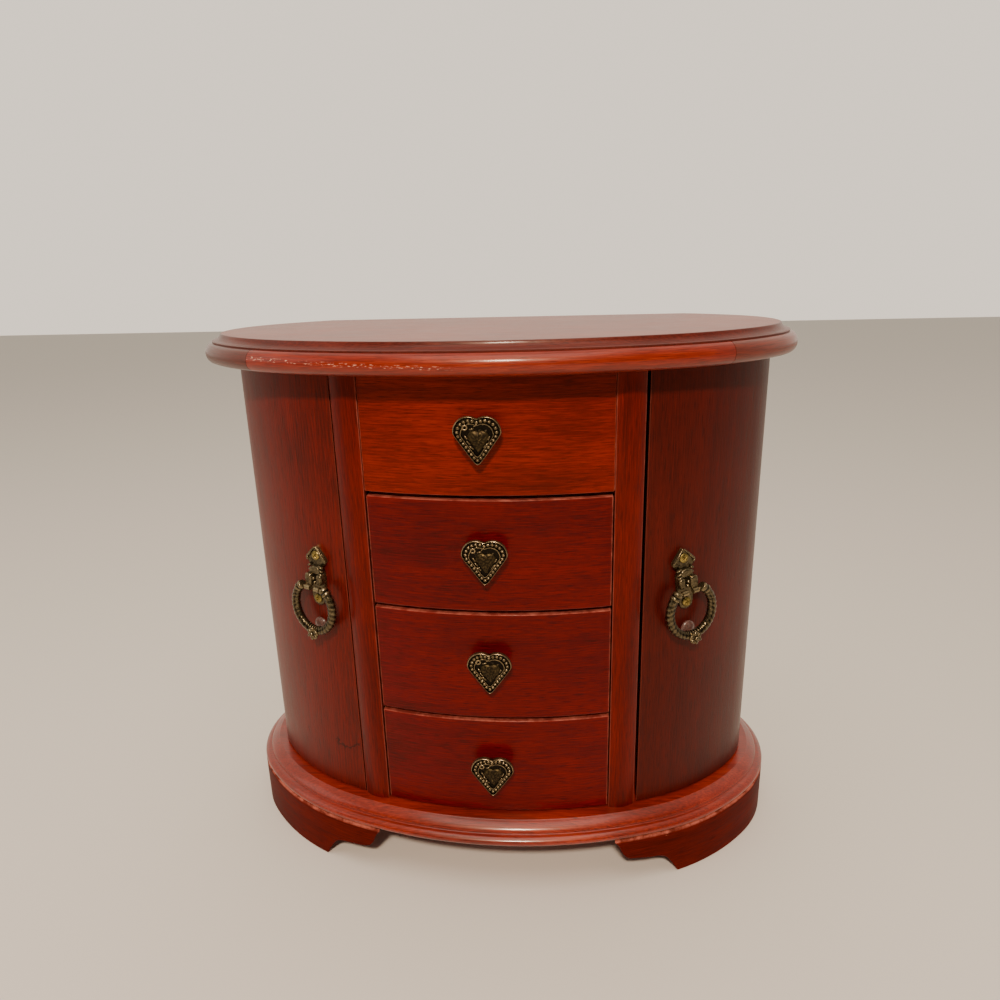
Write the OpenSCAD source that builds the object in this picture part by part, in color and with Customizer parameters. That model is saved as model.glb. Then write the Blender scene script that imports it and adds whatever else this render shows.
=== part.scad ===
// Oval jewelry armoire for a table top: lift-up lid, two curved side doors, three bow-front drawers.
// Millimetres. +Z up, front towards -Y, +X to the right seen from the front.

/* [Case] */
// Half width of the oval case
half_w = 148.4; // [142:0.2:154]
// Depth of the oval from its middle line to the front
half_d = 85.1; // [82:0.1:88]
// Distance from the middle line to the flat back
back_y = 62; // [58:0.5:64]
// Overall height with the lid closed
total_h = 300; // [290:1:320]
// Thickness of the back panel
back_t = 6; // [4:0.5:8]
// Thickness of the two inner partitions
partition_t = 6; // [4:0.5:8]

/* [Base] */
// Height of the bracket feet
foot_h = 29.5; // [26:0.5:32]
// Thickness of the moulded base board
base_t = 10.8; // [9:0.2:12]
// How far the feet stand out from the case
foot_out = 14.6; // [13:0.1:18]
// Wall thickness of the feet
foot_t = 9; // [6:0.5:12]

/* [Lid] */
// Thickness of the moulded top board
lid_top_t = 4.7; // [4:0.1:6]
// Thickness of the rim under the top board
rim_t = 10.6; // [9:0.1:12]
// How far the rounded rim stands out from the case
lid_out = 18.7; // [17:0.1:20]
// Sideways set of the lid on its hinges
lid_shift = -2; // [-3:0.5:3]
// How far short of an even overhang the lid stops at each end
lid_tuck = 4; // [0:0.5:5]
// Direction of the left and right joint between the rim's front and end pieces
rim_joint = [31.8, 33.9]; // [26:0.1:40]

/* [Drawers] */
// Half width of the opening between the two pillars
bay_half = 62.5; // [58:0.5:64]
// Heights of the three drawer fronts, lowest first
front_h = [57.7, 60.4, 59.1]; // [56:0.1:61]
// Gap between one front and the next
front_gap = 2.2; // [1.5:0.1:3]
// Thickness of the drawer fronts
front_t = 10; // [8:0.5:12]
// How far the fronts sit back from the oval
front_set = 1; // [0.5:0.1:2]
// Height of each knob above the middle of its front, lowest first
knob_rise = [-0.9, 1.1, 0.3, 0]; // [-3:0.1:3]
// Sideways place of each knob, lowest first
knob_x = [-0.5, -0.3, -0.9, -2.5]; // [-3:0.1:3]

/* [Doors] */
// Width of the half-round pillars beside the drawers
pillar_w = 14.2; // [11:0.1:15]
// Gap between the left pillar and its door
gap_left = 0.6; // [0.6:0.1:2.5]
// Gap between the right pillar and its door
gap_right = 1.6; // [0.6:0.1:2.5]
// Thickness of the curved doors
door_t = 8; // [6:0.5:9]
// Direction of the seam between a door and its rear post
seam_dir = 122; // [118:1:124]
// Heights of the door hinges above the table
hinge_z = [75, 250]; // [60:1:260]

/* [Pulls] */
// Direction of the left and right pull on the oval
pull_dir = [24.6, 27.5]; // [24:0.1:32]
// Lean of the left and right pull, bottom end outwards
pull_lean = [2.7, 7.2]; // [0:0.1:10]
// Height of the ring pivot above the table
pivot_z = 169; // [160:1:180]
// Radius of the ring's middle line
ring_r = 13.2; // [11:0.1:14]
// Radius of the ring's bar
ring_bar = 2.5; // [2:0.1:2.8]

/* [Hidden] */
$fn = 64;

cherry = "#7a2318";
cherry_light = "#96351d";
plain_wood = "#8a5a3a";
velvet = "#5b1a24";
old_brass = "#5a4a2c";
bright_brass = "#b08c45";

// The oval is drawn with three arcs in each quarter: front, shoulder and end.
front_r = 0.94 * half_w * half_w / half_d;
shoulder_r = 0.49 * front_r;
turn_1 = 21;
front_c = [0, front_r - half_d];
shoulder_c = front_c + (front_r - shoulder_r) * [sin(turn_1), -cos(turn_1)];
run = half_w - shoulder_c[0];
end_r = (shoulder_r * shoulder_r - run * run - shoulder_c[1] * shoulder_c[1]) / (2 * (shoulder_r - run));
end_c = [half_w - end_r, 0];
turn_2 = atan2(end_c[0] - shoulder_c[0], shoulder_c[1] - end_c[1]);

// Each arc: centre, radius, first and last direction, then how far it runs on under or over its neighbours
// at its two ends, and how many laps proud it is drawn. 0 is the front, 90 the right end, 180 the back.
arc_run = 5;
arc_lap = 0.02;
ARCS = [
    [front_c, front_r, -turn_1, turn_1, 0, 0, 0],
    [shoulder_c, shoulder_r, turn_1, turn_2, arc_run, 0, 1],
    [end_c, end_r, turn_2, 180 - turn_2, arc_run, arc_run, 2],
    [[shoulder_c[0], -shoulder_c[1]], shoulder_r, 180 - turn_2, 180 - turn_1, 0, arc_run, 1],
    [-front_c, front_r, 180 - turn_1, 180 + turn_1, 0, 0, 0],
    [-shoulder_c, shoulder_r, turn_1 - 180, turn_2 - 180, arc_run, 0, 1],
    [-end_c, end_r, turn_2 - 180, -turn_2, arc_run, arc_run, 2],
    [[-shoulder_c[0], shoulder_c[1]], shoulder_r, -turn_2, -turn_1, 0, arc_run, 1],
];

front_face = half_d + lid_out;
lid_back = back_y + 2;
barrel_r = 2;
lid_axis_y = lid_back + barrel_r + 0.2;
lid_half = half_w + lid_out - lid_tuck;
squeeze = lid_half / (half_w + lid_out);
mid_y = (lid_axis_y + barrel_r - front_face) / 2;
foot_lip = 0.3;
left_end = min(lid_shift - lid_half, -half_w - foot_out - foot_lip);
right_end = max(lid_shift + lid_half, half_w + foot_out + foot_lip);
mid_x = (left_end + right_end) / 2;

ledge_z = foot_h + base_t;
rim_z = total_h - lid_top_t - rim_t;
case_top = rim_z - 0.5;
lid_axis_z = rim_z - 0.25;
door_low = ledge_z + 1;
door_high = case_top - 0.8;
front_low = [
    ledge_z + 0.7,
    ledge_z + 0.7 + front_h[0] + front_gap,
    ledge_z + 0.7 + front_h[0] + front_h[1] + 2 * front_gap,
    ledge_z + 0.7 + front_h[0] + front_h[1] + front_h[2] + 3 * front_gap,
];
front_top = [for (i = [0:3]) i < 3 ? front_low[i] + front_h[i] : case_top];
shelf_t = 4;
tray_z = front_low[3];
box_half = bay_half - 1;
box_back = back_y - back_t - 6;
box_wall = 5;
box_floor = 3;
box_h = 46;
knob_out = 8;
part_x = bay_half + partition_t;
pillar_x = bay_half + pillar_w;
pillar_back = -60;
door_x = [pillar_x + gap_left, pillar_x + gap_right];
post_t = 12;
seam_gap = 0.8;
pin_r = 0.8;
hinge_r = 1.7;
pivot_out = 6;
ring_end = 8.2;
ring_drop = sqrt(ring_r * ring_r - ring_end * ring_end);
pull_pin_r = 0.9;

// Padded ring rolls and the divider in front of them
roll_r = 5.2;
roll_pitch = 10.6;
roll_count = 5;
roll_back = back_y - back_t - 1.2 - roll_r;
divider_y = roll_back - (roll_count - 1) * roll_pitch - roll_r - 3.4;

// Heart knob: lobe radius, half the lobes' spacing, tip below the middle, thickness, bore
knob_r = 7.35;
knob_lobe = 4.2;
knob_tip = 13.6;
knob_t = 3.2;
knob_bore_r = 2;

// Lid hinges and the rim's inner face
lid_hinge_x = 62;
rim_inner = -8;

// Screws of the pulls, above and below the ring's pivot
screw_z = [18.2, -7.4];
screw_bore_r = 1.45;

// A point on the oval, moved outwards by off, where the surface faces the direction dir.
function arc_of(dir) = [for (a = ARCS) if (dir >= a[2] - 0.001 && dir <= a[3] + 0.001) a][0];
function at(dir, off) = let (a = arc_of(dir)) a[0] + (a[1] + off) * [sin(dir), -cos(dir)];
// The direction at which the line moved out by off reaches the flat back at y.
function reach(off, y) =
    let (d = acos(-(y + shoulder_c[1]) / (shoulder_r + off)))
    d < 180 - turn_1 ? d : acos(-(y + front_c[1]) / (front_r + off));

// The whole model stands with the middle of its box over the origin.
module placed() {
    translate([-mid_x, -mid_y, 0])
        children();
}

// Right-hand shapes, mirrored for the left side.
module sided(side) {
    if (side > 0)
        children();
    else
        mirror([1, 0, 0])
            children();
}

// The smaller arcs are drawn a hair proud and run on past the joint, so that each pair crosses cleanly.
module oval(off) {
    polygon([for (a = ARCS) a[0] + (a[1] + off) * [sin(a[2]), -cos(a[2])]]);
    for (a = ARCS) {
        r = a[1] + off + a[6] * arc_lap;
        from = a[2] - a[4];
        to = a[3] + a[5];
        p = a[0] + r * [sin(from), -cos(from)];
        q = a[0] + r * [sin(to), -cos(to)];
        out = 60 * [sin((from + to) / 2), -cos((from + to) / 2)];
        intersection() {
            translate(a[0])
                circle(r, $fn = 180);
            polygon([p, p + out, q + out, q]);
        }
    }
}

// A slab of the oval between two x and two y limits.
module slab(off, z, h, x, y) {
    translate([0, 0, z])
        linear_extrude(h)
            intersection() {
                oval(off);
                translate([x[0], y[0]])
                    square([x[1] - x[0], y[1] - y[0]]);
            }
}

// A bent board between two offsets, cut by a polygon on the right-hand side.
module bent(outer, inner, z, h, cut) {
    translate([0, 0, z])
        linear_extrude(h)
            intersection() {
                difference() {
                    oval(outer);
                    oval(inner);
                }
                polygon(cut);
            }
}

// Triangles between row i and the next row of a grid whose rows have n points.
function strip(i, n) = [
    for (k = [0:n - 2])
        each [
            [i * n + k, (i + 1) * n + k, (i + 1) * n + k + 1],
            [i * n + k, (i + 1) * n + k + 1, i * n + k + 1],
        ],
];

// A board whose moulded edge follows the oval and whose back is flat. The edge lists [offset, height] upwards.
module moulded_board(edge, y, steps, narrow = 1) {
    n = steps + 1;
    rows = len(edge);
    points = [
        for (e = edge)
            let (far = reach(e[0], y))
            for (k = [0:steps])
                let (p = at(far * (2 * k / steps - 1), e[0]))
                [narrow * p[0], p[1], e[1]],
    ];
    faces = [
        for (i = [0:rows - 2]) each strip(i, n),
        [for (k = [0:steps]) k],
        [for (k = [steps:-1:0]) (rows - 1) * n + k],
        [for (i = [rows - 1:-1:0]) i * n, for (i = [0:rows - 1]) i * n + steps],
    ];
    polyhedron(points, faces);
}

// A rim piece: a closed section swept along the oval from one direction to another, or to the flat back.
module rim_piece(section, from, to, steps) {
    n = len(section);
    points = [
        for (k = [0:steps])
            for (s = section)
                let (last = to > 90 ? reach(s[0], lid_back) : to)
                let (p = at(from + (last - from) * k / steps, s[0]))
                [squeeze * p[0], p[1], s[1]],
    ];
    faces = [
        for (k = [0:steps - 1])
            for (i = [0:n - 1])
                let (j = (i + 1) % n)
                each [
                    [k * n + i, k * n + j, (k + 1) * n + j],
                    [k * n + i, (k + 1) * n + j, (k + 1) * n + i],
                ],
        [for (i = [n - 1:-1:0]) i],
        [for (i = [0:n - 1]) steps * n + i],
    ];
    polyhedron(points, faces);
}

// ---------- base ----------

module base_board() {
    bead = foot_out - 0.1;
    edge = [
        [bead - 4, foot_h],
        [bead - 1, foot_h + 0.4],
        [bead, foot_h + 2],
        [bead - 0.4, foot_h + 3.7],
        [bead - 1.8, foot_h + 5],
        [bead - 4, foot_h + 5.6],
        [bead - 4.3, foot_h + 7],
        [bead - 6.2, foot_h + 8.8],
        [bead - 8.6, foot_h + 10.1],
        [bead - 10, ledge_z],
    ];
    color(cherry_light)
        placed()
            moulded_board(edge, back_y + 1, 64);
}

// Open space under the middle of the base, drawn in elevation: x along the front, y upwards.
module foot_cut() {
    toe = 101.7;
    lobe = 73.7;
    inner = 62;
    polygon([
        [0, -1], [toe, -1], [toe, 2.9], [toe - 5.3, 12], [toe - 9.4, 13.4], [lobe, 16],
        [lobe - 2.4, 17.8], [inner + 5.2, 27.1], [inner, foot_h + 1], [0, foot_h + 1],
    ]);
}

module foot(side) {
    color(cherry)
        placed()
            sided(side)
                difference() {
                    union() {
                        bent(foot_out, foot_out - foot_t, 0, foot_h, foot_plan());
                        bent(foot_out + foot_lip, foot_out - 6, foot_h - 2.2, 2.2, foot_plan());
                    }
                    rotate([90, 0, 0])
                        linear_extrude(150)
                            foot_cut();
                }
}

function foot_plan() = [
    [58, -40], [58, -130], [200, -130], [200, back_y + 1], [80, back_y + 1], [80, 0],
];

// ---------- fixed case ----------

module back_panel() {
    color(plain_wood)
        placed()
            difference() {
                slab(0, ledge_z, case_top - ledge_z, [-200, 200], [back_y - back_t, back_y]);
                for (x = [-1, 1])
                    translate([x * lid_hinge_x - 12.2 + lid_shift, back_y - back_t - 1, case_top - 1.05])
                        cube([24.4, back_t + 2, 2]);
            }
}

module partition(side) {
    color(plain_wood)
        placed()
            sided(side)
                translate([bay_half, pillar_back, ledge_z])
                    cube([partition_t, back_y - back_t - pillar_back, case_top - ledge_z]);
}

module pillar(side) {
    nose_r = 16;
    nose_dir = asin((bay_half + pillar_w / 2) / front_r);
    nose = at(nose_dir, 1.4 - nose_r);
    color(cherry)
        placed()
            sided(side)
                translate([0, 0, ledge_z])
                    linear_extrude(case_top - ledge_z) {
                        intersection() {
                            translate(nose)
                                circle(nose_r, $fn = 96);
                            translate([bay_half, -100])
                                square([pillar_w, 100 + pillar_back]);
                        }
                        translate([bay_half, nose[1]])
                            square([pillar_w, pillar_back - nose[1]]);
                    }
}

module rear_post(side) {
    start = seam_dir + seam_gap / 2 / end_r * 180 / PI;
    cut = [at(start, -18), at(start, 50), [200, back_y - back_t], [70, back_y - back_t]];
    color(cherry)
        placed()
            sided(side)
                difference() {
                    bent(0, -post_t, ledge_z, case_top - ledge_z, cut);
                    for (z = hinge_z)
                        hinge_place(z)
                            translate([-10, 0, -10.1])
                                cube([12, 1, 20.2]);
                }
}

module false_front() {
    z = front_low[3];
    color(cherry_light)
        placed()
            difference() {
                translate([0, 0, z])
                    linear_extrude(case_top - z)
                        intersection() {
                            difference() {
                                oval(-front_set);
                                oval(-front_set - front_t);
                            }
                            translate([-bay_half, -100])
                                square([2 * bay_half, 60]);
                        }
                knob_bore(3);
            }
}

module shelf(z) {
    slab(-front_set - front_t - 0.6, z - shelf_t, shelf_t, [-bay_half, bay_half], [-100, back_y - back_t]);
}

module tray_floor() {
    color(plain_wood)
        placed()
            shelf(tray_z);
}

module drawer_dividers() {
    color(plain_wood)
        placed()
            for (i = [1, 2])
                shelf(front_low[i] + 1);
}

// Boards that close the tops of the two door bays.
module bay_tops() {
    inner = -door_t - 0.8;
    color(cherry)
        placed()
            for (side = [-1, 1])
                sided(side)
                    difference() {
                        slab(inner, case_top - 4, 4, [part_x, 200], [pillar_back, back_y - back_t]);
                        translate([0, 0, case_top - 5])
                            linear_extrude(6)
                                rear_corner();
                    }
}

// Plan of the rear post with a little room round it.
module rear_corner() {
    difference() {
        polygon([at(seam_dir - 2, -40), at(seam_dir - 2, 50), [200, back_y], [60, back_y]]);
        oval(-post_t - 0.2);
    }
}

module tray_lining() {
    color(velvet)
        placed()
            slab(-front_set - front_t - 0.5, tray_z, 1.2, [-bay_half + 0.4, bay_half - 0.4],
                [-100, back_y - back_t - 0.4]);
}

module tray_divider() {
    color(velvet)
        placed()
            translate([-bay_half + 0.4, divider_y, tray_z + 1.2])
                cube([2 * bay_half - 0.8, 2.6, 26]);
}

// Padded rolls that hold rings, lying side by side behind the divider.
module ring_rolls() {
    color(velvet)
        placed()
            for (k = [0:roll_count - 1])
                translate([-bay_half + 1.5, roll_back - k * roll_pitch, tray_z + 1.6 + roll_r])
                    rotate([0, 90, 0])
                        cylinder(r = roll_r, h = 2 * bay_half - 3);
}

module door_catches() {
    color("#3a3a3c")
        placed()
            for (side = [-1, 1])
                sided(side)
                    translate([part_x, pillar_back + 1, 150])
                        cube([7, 8, 22]);
}

// ---------- knobs ----------

function knob_at(i) = [knob_x[i], -half_d + front_set, (front_low[i] + front_top[i]) / 2 + knob_rise[i]];

// A heart drawn upright from two circles and the tangents that meet at the tip.
module heart(grow) {
    rise = 3.7;
    far = sqrt(knob_lobe * knob_lobe + (knob_tip + rise) * (knob_tip + rise));
    side_dir = atan2(knob_tip + rise, knob_lobe) - acos(knob_r / far);
    for (s = [-1, 1])
        translate([s * knob_lobe, rise])
            circle(knob_r + grow);
    polygon([
        [0, -knob_tip - grow * 1.3],
        [knob_lobe, rise] + (knob_r + grow) * [cos(-side_dir), sin(-side_dir)],
        [knob_lobe, rise],
        [-knob_lobe, rise],
        [-knob_lobe, rise] + (knob_r + grow) * [-cos(-side_dir), sin(-side_dir)],
    ]);
}

module knob(i) {
    color(old_brass)
        placed()
            translate(knob_at(i))
                rotate([90, 0, 0])
                    difference() {
                        union() {
                            translate([0, 0, knob_out - knob_t])
                                linear_extrude(knob_t)
                                    heart(0);
                            translate([0, 0, 0.05])
                                cylinder(r = 4, h = knob_out - knob_t);
                        }
                        translate([0, 0, -1])
                            cylinder(r = knob_bore_r, h = 6);
                    }
}

module knob_screw(i) {
    color("#9a9a98")
        placed()
            translate(knob_at(i))
                rotate([90, 0, 0]) {
                    translate([0, 0, -front_t - 2])
                        cylinder(r = 3.9, h = 1.8);
                    translate([0, 0, -front_t - 1])
                        cylinder(r = knob_bore_r - 0.03, h = front_t + 5.5);
                }
}

module knob_bore(i) {
    translate(knob_at(i))
        rotate([90, 0, 0])
            translate([0, 0, -front_t - 5])
                cylinder(r = knob_bore_r, h = front_t + 10);
}

// ---------- hinges ----------

// Right-hand door hinge frame: origin on the pin, x outwards along the seam, y towards the back.
module hinge_place(z) {
    p = at(seam_dir, hinge_r);
    translate([p[0], p[1], z])
        rotate(seam_dir - 90)
            children();
}

// A leaf with its knuckles: the middle one, or the two outer ones.
module door_leaf(middle) {
    low = middle ? -3.3 : -10;
    y = middle ? -0.9 : 0.1;
    difference() {
        union() {
            translate([-9.5, y, -10])
                cube([9.5, 0.8, 20]);
            if (middle)
                translate([0, 0, -3.3])
                    cylinder(r = hinge_r - 0.1, h = 6.6);
            else
                for (z = [-10, 3.4])
                    translate([0, 0, z])
                        cylinder(r = hinge_r - 0.1, h = 6.6);
        }
        if (middle)
            for (z = [-11, 3.3])
                translate([-1.9, -3, z])
                    cube([5, 6, 7.7]);
        else
            translate([-1.9, -3, -3.4])
                cube([5, 6, 6.8]);
        translate([0, 0, -12])
            cylinder(r = pin_r + 0.05, h = 24);
    }
}

module door_hinge_leaves(side) {
    color(bright_brass)
        placed()
            for (z = hinge_z)
                sided(side)
                    hinge_place(z)
                        door_leaf(true);
}

module lid_leaf_place(x) {
    translate([x * lid_hinge_x + lid_shift, lid_axis_y, lid_axis_z])
        children();
}

// Lid hinge leaf, its knuckles on a pin along x. The case leaf lies under the lid leaf.
module lid_leaf(middle) {
    z = middle ? 0.2 : -1.2;
    difference() {
        union() {
            translate([-12, -9, z])
                cube([24, 9, 1]);
            if (middle)
                translate([-3.9, 0, 0])
                    rotate([0, 90, 0])
                        cylinder(r = barrel_r, h = 7.8);
            else
                for (x = [-12, 4.1])
                    translate([x, 0, 0])
                        rotate([0, 90, 0])
                            cylinder(r = barrel_r, h = 7.9);
        }
        if (middle)
            for (x = [-13, 3.9])
                translate([x, -2.2, -3])
                    cube([9.1, 5, 6]);
        else
            translate([-4.1, -2.2, -3])
                cube([8.2, 5, 6]);
        translate([-14, 0, 0])
            rotate([0, 90, 0])
                cylinder(r = pin_r + 0.05, h = 28);
    }
}

// All the leaves fixed to the case: four for the doors and two for the lid.
module hinge_case_leaves() {
    color(bright_brass)
        placed() {
            for (side = [-1, 1], z = hinge_z)
                sided(side)
                    hinge_place(z)
                        door_leaf(false);
            for (x = [-1, 1])
                lid_leaf_place(x)
                    lid_leaf(false);
        }
}

module lid_hinge_lid_leaves() {
    color(bright_brass)
        placed()
            for (x = [-1, 1])
                lid_leaf_place(x)
                    lid_leaf(true);
}

module hinge_pins() {
    color(bright_brass)
        placed() {
            for (side = [-1, 1], z = hinge_z)
                sided(side)
                    hinge_place(z)
                        translate([0, 0, -10])
                            cylinder(r = pin_r, h = 20);
            for (x = [-1, 1])
                lid_leaf_place(x)
                    translate([-12, 0, 0])
                        rotate([0, 90, 0])
                            cylinder(r = pin_r, h = 24);
        }
}

// ---------- lid ----------

module lid_top() {
    z = total_h - lid_top_t;
    edge = [
        [lid_out - 4.2, z],
        [lid_out - 4.2, z + 0.7],
        [lid_out - 6, z + 1.4],
        [lid_out - 7.6, z + 2.6],
        [lid_out - 8.6, z + 3.8],
        [lid_out - 9.2, total_h],
    ];
    color(cherry_light)
        placed()
            translate([lid_shift, 0, 0])
                moulded_board(edge, lid_back, 64, squeeze);
}

// Section of the rim: rounded outside, square inside.
function rim_section() = [
    [rim_inner, rim_z],
    [lid_out - 4.4, rim_z],
    [lid_out - 1.9, rim_z + 1],
    [lid_out - 0.4, rim_z + 3],
    [lid_out, rim_z + 5.3],
    [lid_out - 0.4, rim_z + 7.5],
    [lid_out - 1.7, rim_z + 9.5],
    [lid_out - 3.5, rim_z + rim_t],
    [rim_inner, rim_z + rim_t],
];

module lid_rim_front() {
    color(cherry)
        placed()
            translate([lid_shift, 0, 0])
                rim_piece(rim_section(), -rim_joint[0], rim_joint[1], 20);
}

module lid_rim_end(side) {
    color(cherry)
        placed()
            translate([lid_shift, 0, 0])
                sided(side)
                    rim_piece(rim_section(), rim_joint[side > 0 ? 1 : 0], 180, 36);
}

module lid_rim_back() {
    w = 2 * (squeeze * at(reach(rim_inner, lid_back), rim_inner)[0] - 0.5);
    depth = 13;
    color(cherry)
        placed()
            translate([lid_shift, 0, 0])
                difference() {
                    translate([-w / 2, lid_back - depth, rim_z])
                        cube([w, depth, rim_t]);
                    for (x = [-1, 1])
                        translate([x * lid_hinge_x - 12.2, lid_axis_y - 9.2, rim_z - 1])
                            cube([24.4, 20, 2]);
                }
}

module lid_mirror() {
    color("#c8d2d6")
        placed()
            translate([lid_shift, 0, 0])
                slab(rim_inner - lid_tuck - 1, total_h - lid_top_t - 3, 3, [-200, 200], [-100, lid_back - 14]);
}

// ---------- doors ----------

module door(side) {
    x = door_x[side > 0 ? 1 : 0];
    end_dir = seam_dir - seam_gap / 2 / end_r * 180 / PI;
    cut = [[x, -40], [x, -130], [230, -130], [230, at(end_dir, 60)[1]], at(end_dir, 60), at(end_dir, -18)];
    color(cherry)
        placed()
            sided(side)
                difference() {
                    bent(0, -door_t, door_low, door_high - door_low, cut);
                    for (z = hinge_z)
                        hinge_place(z)
                            translate([-10, -1, -10.1])
                                cube([12, 1, 20.2]);
                    pull_place(side)
                        pull_screw_bores(4);
                }
}

// Brass cup hooks screwed into the inner face near the top.
module door_hooks(side) {
    color(bright_brass)
        placed()
            sided(side)
                for (dir = [48:13:100]) {
                    p = at(dir, -door_t - 0.02);
                    translate([p[0], p[1], 256])
                        rotate(dir) {
                            rotate([-90, 0, 0])
                                cylinder(r = 2.6, h = 0.8);
                            rotate([-90, 0, 0])
                                cylinder(r = 0.8, h = 5);
                            translate([0, 5, -3])
                                rotate([90, 0, 90])
                                    rotate([0, 0, -90])
                                        rotate_extrude(angle = 180)
                                            translate([3, 0])
                                                circle(0.8, $fn = 24);
                        }
                }
}

// A gathered cloth pocket low on the inner face, for the chains' ends.
module door_pouch(side) {
    color(velvet)
        placed()
            sided(side)
                bent(-door_t - 0.4, -door_t - 9, 52, 62, [at(46, -22), at(46, 30), [220, -60], at(104, 40), at(104, -22)]);
}

// ---------- pulls ----------

// Frame of a right-hand pull: origin on the door behind the ring's pivot, -y outwards, z up.
module pull_place(side) {
    i = side > 0 ? 1 : 0;
    p = at(pull_dir[i], 0);
    translate([p[0], p[1], pivot_z])
        rotate(pull_dir[i])
            rotate([0, -pull_lean[i], 0])
                children();
}

module pull_screw_bores(depth) {
    for (z = screw_z)
        translate([0, depth, z])
            rotate([90, 0, 0])
                cylinder(r = screw_bore_r, h = depth + 6, $fn = 32);
}

// Plate outline in elevation: a pointed head, a waist and a round foot.
module plate_outline() {
    polygon([[0, 22.9], [6.4, 15.5], [5, 12.5], [-5, 12.5], [-6.4, 15.5]]);
    translate([-4.6, -7])
        square([9.2, 20]);
    translate([0, -7.4])
        circle(4.2);
}

module pull_plate(side) {
    ear_w = 3.6;
    color(old_brass)
        placed()
            sided(side)
                pull_place(side)
                    difference() {
                        union() {
                            translate([0, -0.05, 0])
                                rotate([90, 0, 0])
                                    linear_extrude(1.9)
                                        plate_outline();
                            for (s = [-1, 1])
                                translate([s > 0 ? 1.4 : -1.4 - ear_w, 0, 0]) {
                                    translate([0, -pivot_out, 0])
                                        rotate([0, 90, 0])
                                            cylinder(r = 2.3, h = ear_w);
                                    translate([0, -pivot_out, -2.3])
                                        cube([ear_w, pivot_out - 1, 4.6]);
                                    translate([0, -pivot_out - 1.2, 0])
                                        cube([ear_w, pivot_out, 6]);
                                }
                        }
                        translate([-7, -pivot_out, 0])
                            rotate([0, 90, 0])
                                cylinder(r = pull_pin_r + 0.05, h = 14);
                        pull_screw_bores(2);
                    }
}

module pull_screws(side) {
    color(bright_brass)
        placed()
            sided(side)
                pull_place(side)
                    for (z = screw_z)
                        translate([0, 0, z])
                            rotate([90, 0, 0])
                                difference() {
                                    union() {
                                        translate([0, 0, 2])
                                            cylinder(r = 2.5, h = 1.1);
                                        translate([0, 0, -4])
                                            cylinder(r = screw_bore_r - 0.02, h = 6.5, $fn = 32);
                                    }
                                    for (turn = [0, 90])
                                        rotate(turn)
                                            translate([-1.5, -0.3, 2.5])
                                                cube([3, 0.6, 2]);
                                }
}

module bumper(side) {
    color("#c09a92")
        placed()
            sided(side)
                pull_place(side)
                    translate([0.8, -0.1, -24.1])
                        rotate([90, 0, 0])
                            intersection() {
                                cylinder(r = 4.2, h = 2.2);
                                translate([0, 0, -4.6])
                                    sphere(r = 6.8);
                            }
}

// The drop ring: an open circle whose balled ends carry short pins that turn in the plate's ears.
module ring(side) {
    open = asin(ring_end / ring_r);
    color(old_brass)
        placed()
            sided(side)
                pull_place(side)
                    translate([0, -pivot_out, 0]) {
                        translate([0, 0, -ring_drop])
                            rotate([90, 0, 0])
                                rotate(90 + open)
                                    rotate_extrude(angle = 360 - 2 * open)
                                        translate([ring_r, 0])
                                            circle(ring_bar, $fn = 48);
                        for (s = [-1, 1]) {
                            translate([s * ring_end, 0, 0])
                                sphere(r = 2.8);
                            translate([s > 0 ? 1.6 : -ring_end, 0, 0])
                                rotate([0, 90, 0])
                                    cylinder(r = pull_pin_r, h = ring_end - 1.6);
                        }
                        translate([0, -ring_bar + 0.6, -ring_drop - ring_r - 1])
                            rotate([90, 0, 0])
                                cylinder(r = 3.6, h = 1.8);
                    }
}

// ---------- drawers ----------

module drawer_front(i) {
    color(cherry)
        placed()
            difference() {
                translate([0, 0, front_low[i]])
                    linear_extrude(front_h[i])
                        intersection() {
                            difference() {
                                oval(-front_set);
                                oval(-front_set - front_t);
                            }
                            translate([-bay_half + 0.6, -100])
                                square([2 * bay_half - 1.2, 60]);
                        }
                knob_bore(i);
            }
}

function box_z(i) = i == 0 ? ledge_z + 0.4 : front_low[i] + 1.4;

// Two sides, a back and a bottom, butted together behind the front.
module drawer_box(i) {
    behind = -front_set - front_t - 0.05;
    z = box_z(i);
    color(plain_wood)
        placed() {
            for (s = [-1, 1])
                slab(behind, z, box_h, s > 0 ? [box_half - box_wall, box_half] : [-box_half, box_wall - box_half],
                    [-100, box_back]);
            translate([-box_half + box_wall, box_back - box_wall, z])
                cube([2 * (box_half - box_wall), box_wall, box_h]);
            slab(behind, z, box_floor, [box_wall - box_half, box_half - box_wall], [-100, box_back - box_wall]);
        }
}

module drawer_lining(i) {
    color(velvet)
        placed()
            slab(-front_set - front_t - 2.4, box_z(i) + box_floor, 1.2,
                [box_wall - box_half + 0.4, box_half - box_wall - 0.4], [-100, box_back - box_wall - 0.4]);
}

base_board();
foot(-1);  // foot_left
foot(1);  // foot_right
back_panel();
partition(-1);  // partition_left
partition(1);  // partition_right
pillar(-1);  // pillar_left
pillar(1);  // pillar_right
rear_post(-1);  // rear_post_left
rear_post(1);  // rear_post_right
false_front();
tray_floor();
drawer_dividers();
bay_tops();
tray_lining();
tray_divider();
ring_rolls();
knob(3);  // false_front_knob
knob_screw(3);  // false_front_knob_screw
hinge_case_leaves();
hinge_pins();
door_catches();
lid_top();
lid_rim_front();
lid_rim_end(-1);  // lid_rim_left
lid_rim_end(1);  // lid_rim_right
lid_rim_back();
lid_mirror();
lid_hinge_lid_leaves();
door(-1);  // door_left
door_hinge_leaves(-1);  // door_left_hinge_leaves
door_hooks(-1);  // door_left_hooks
door_pouch(-1);  // door_left_pouch
pull_plate(-1);  // door_left_pull_plate
pull_screws(-1);  // door_left_pull_screws
bumper(-1);  // door_left_bumper
ring(-1);  // ring_left
door(1);  // door_right
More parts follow.
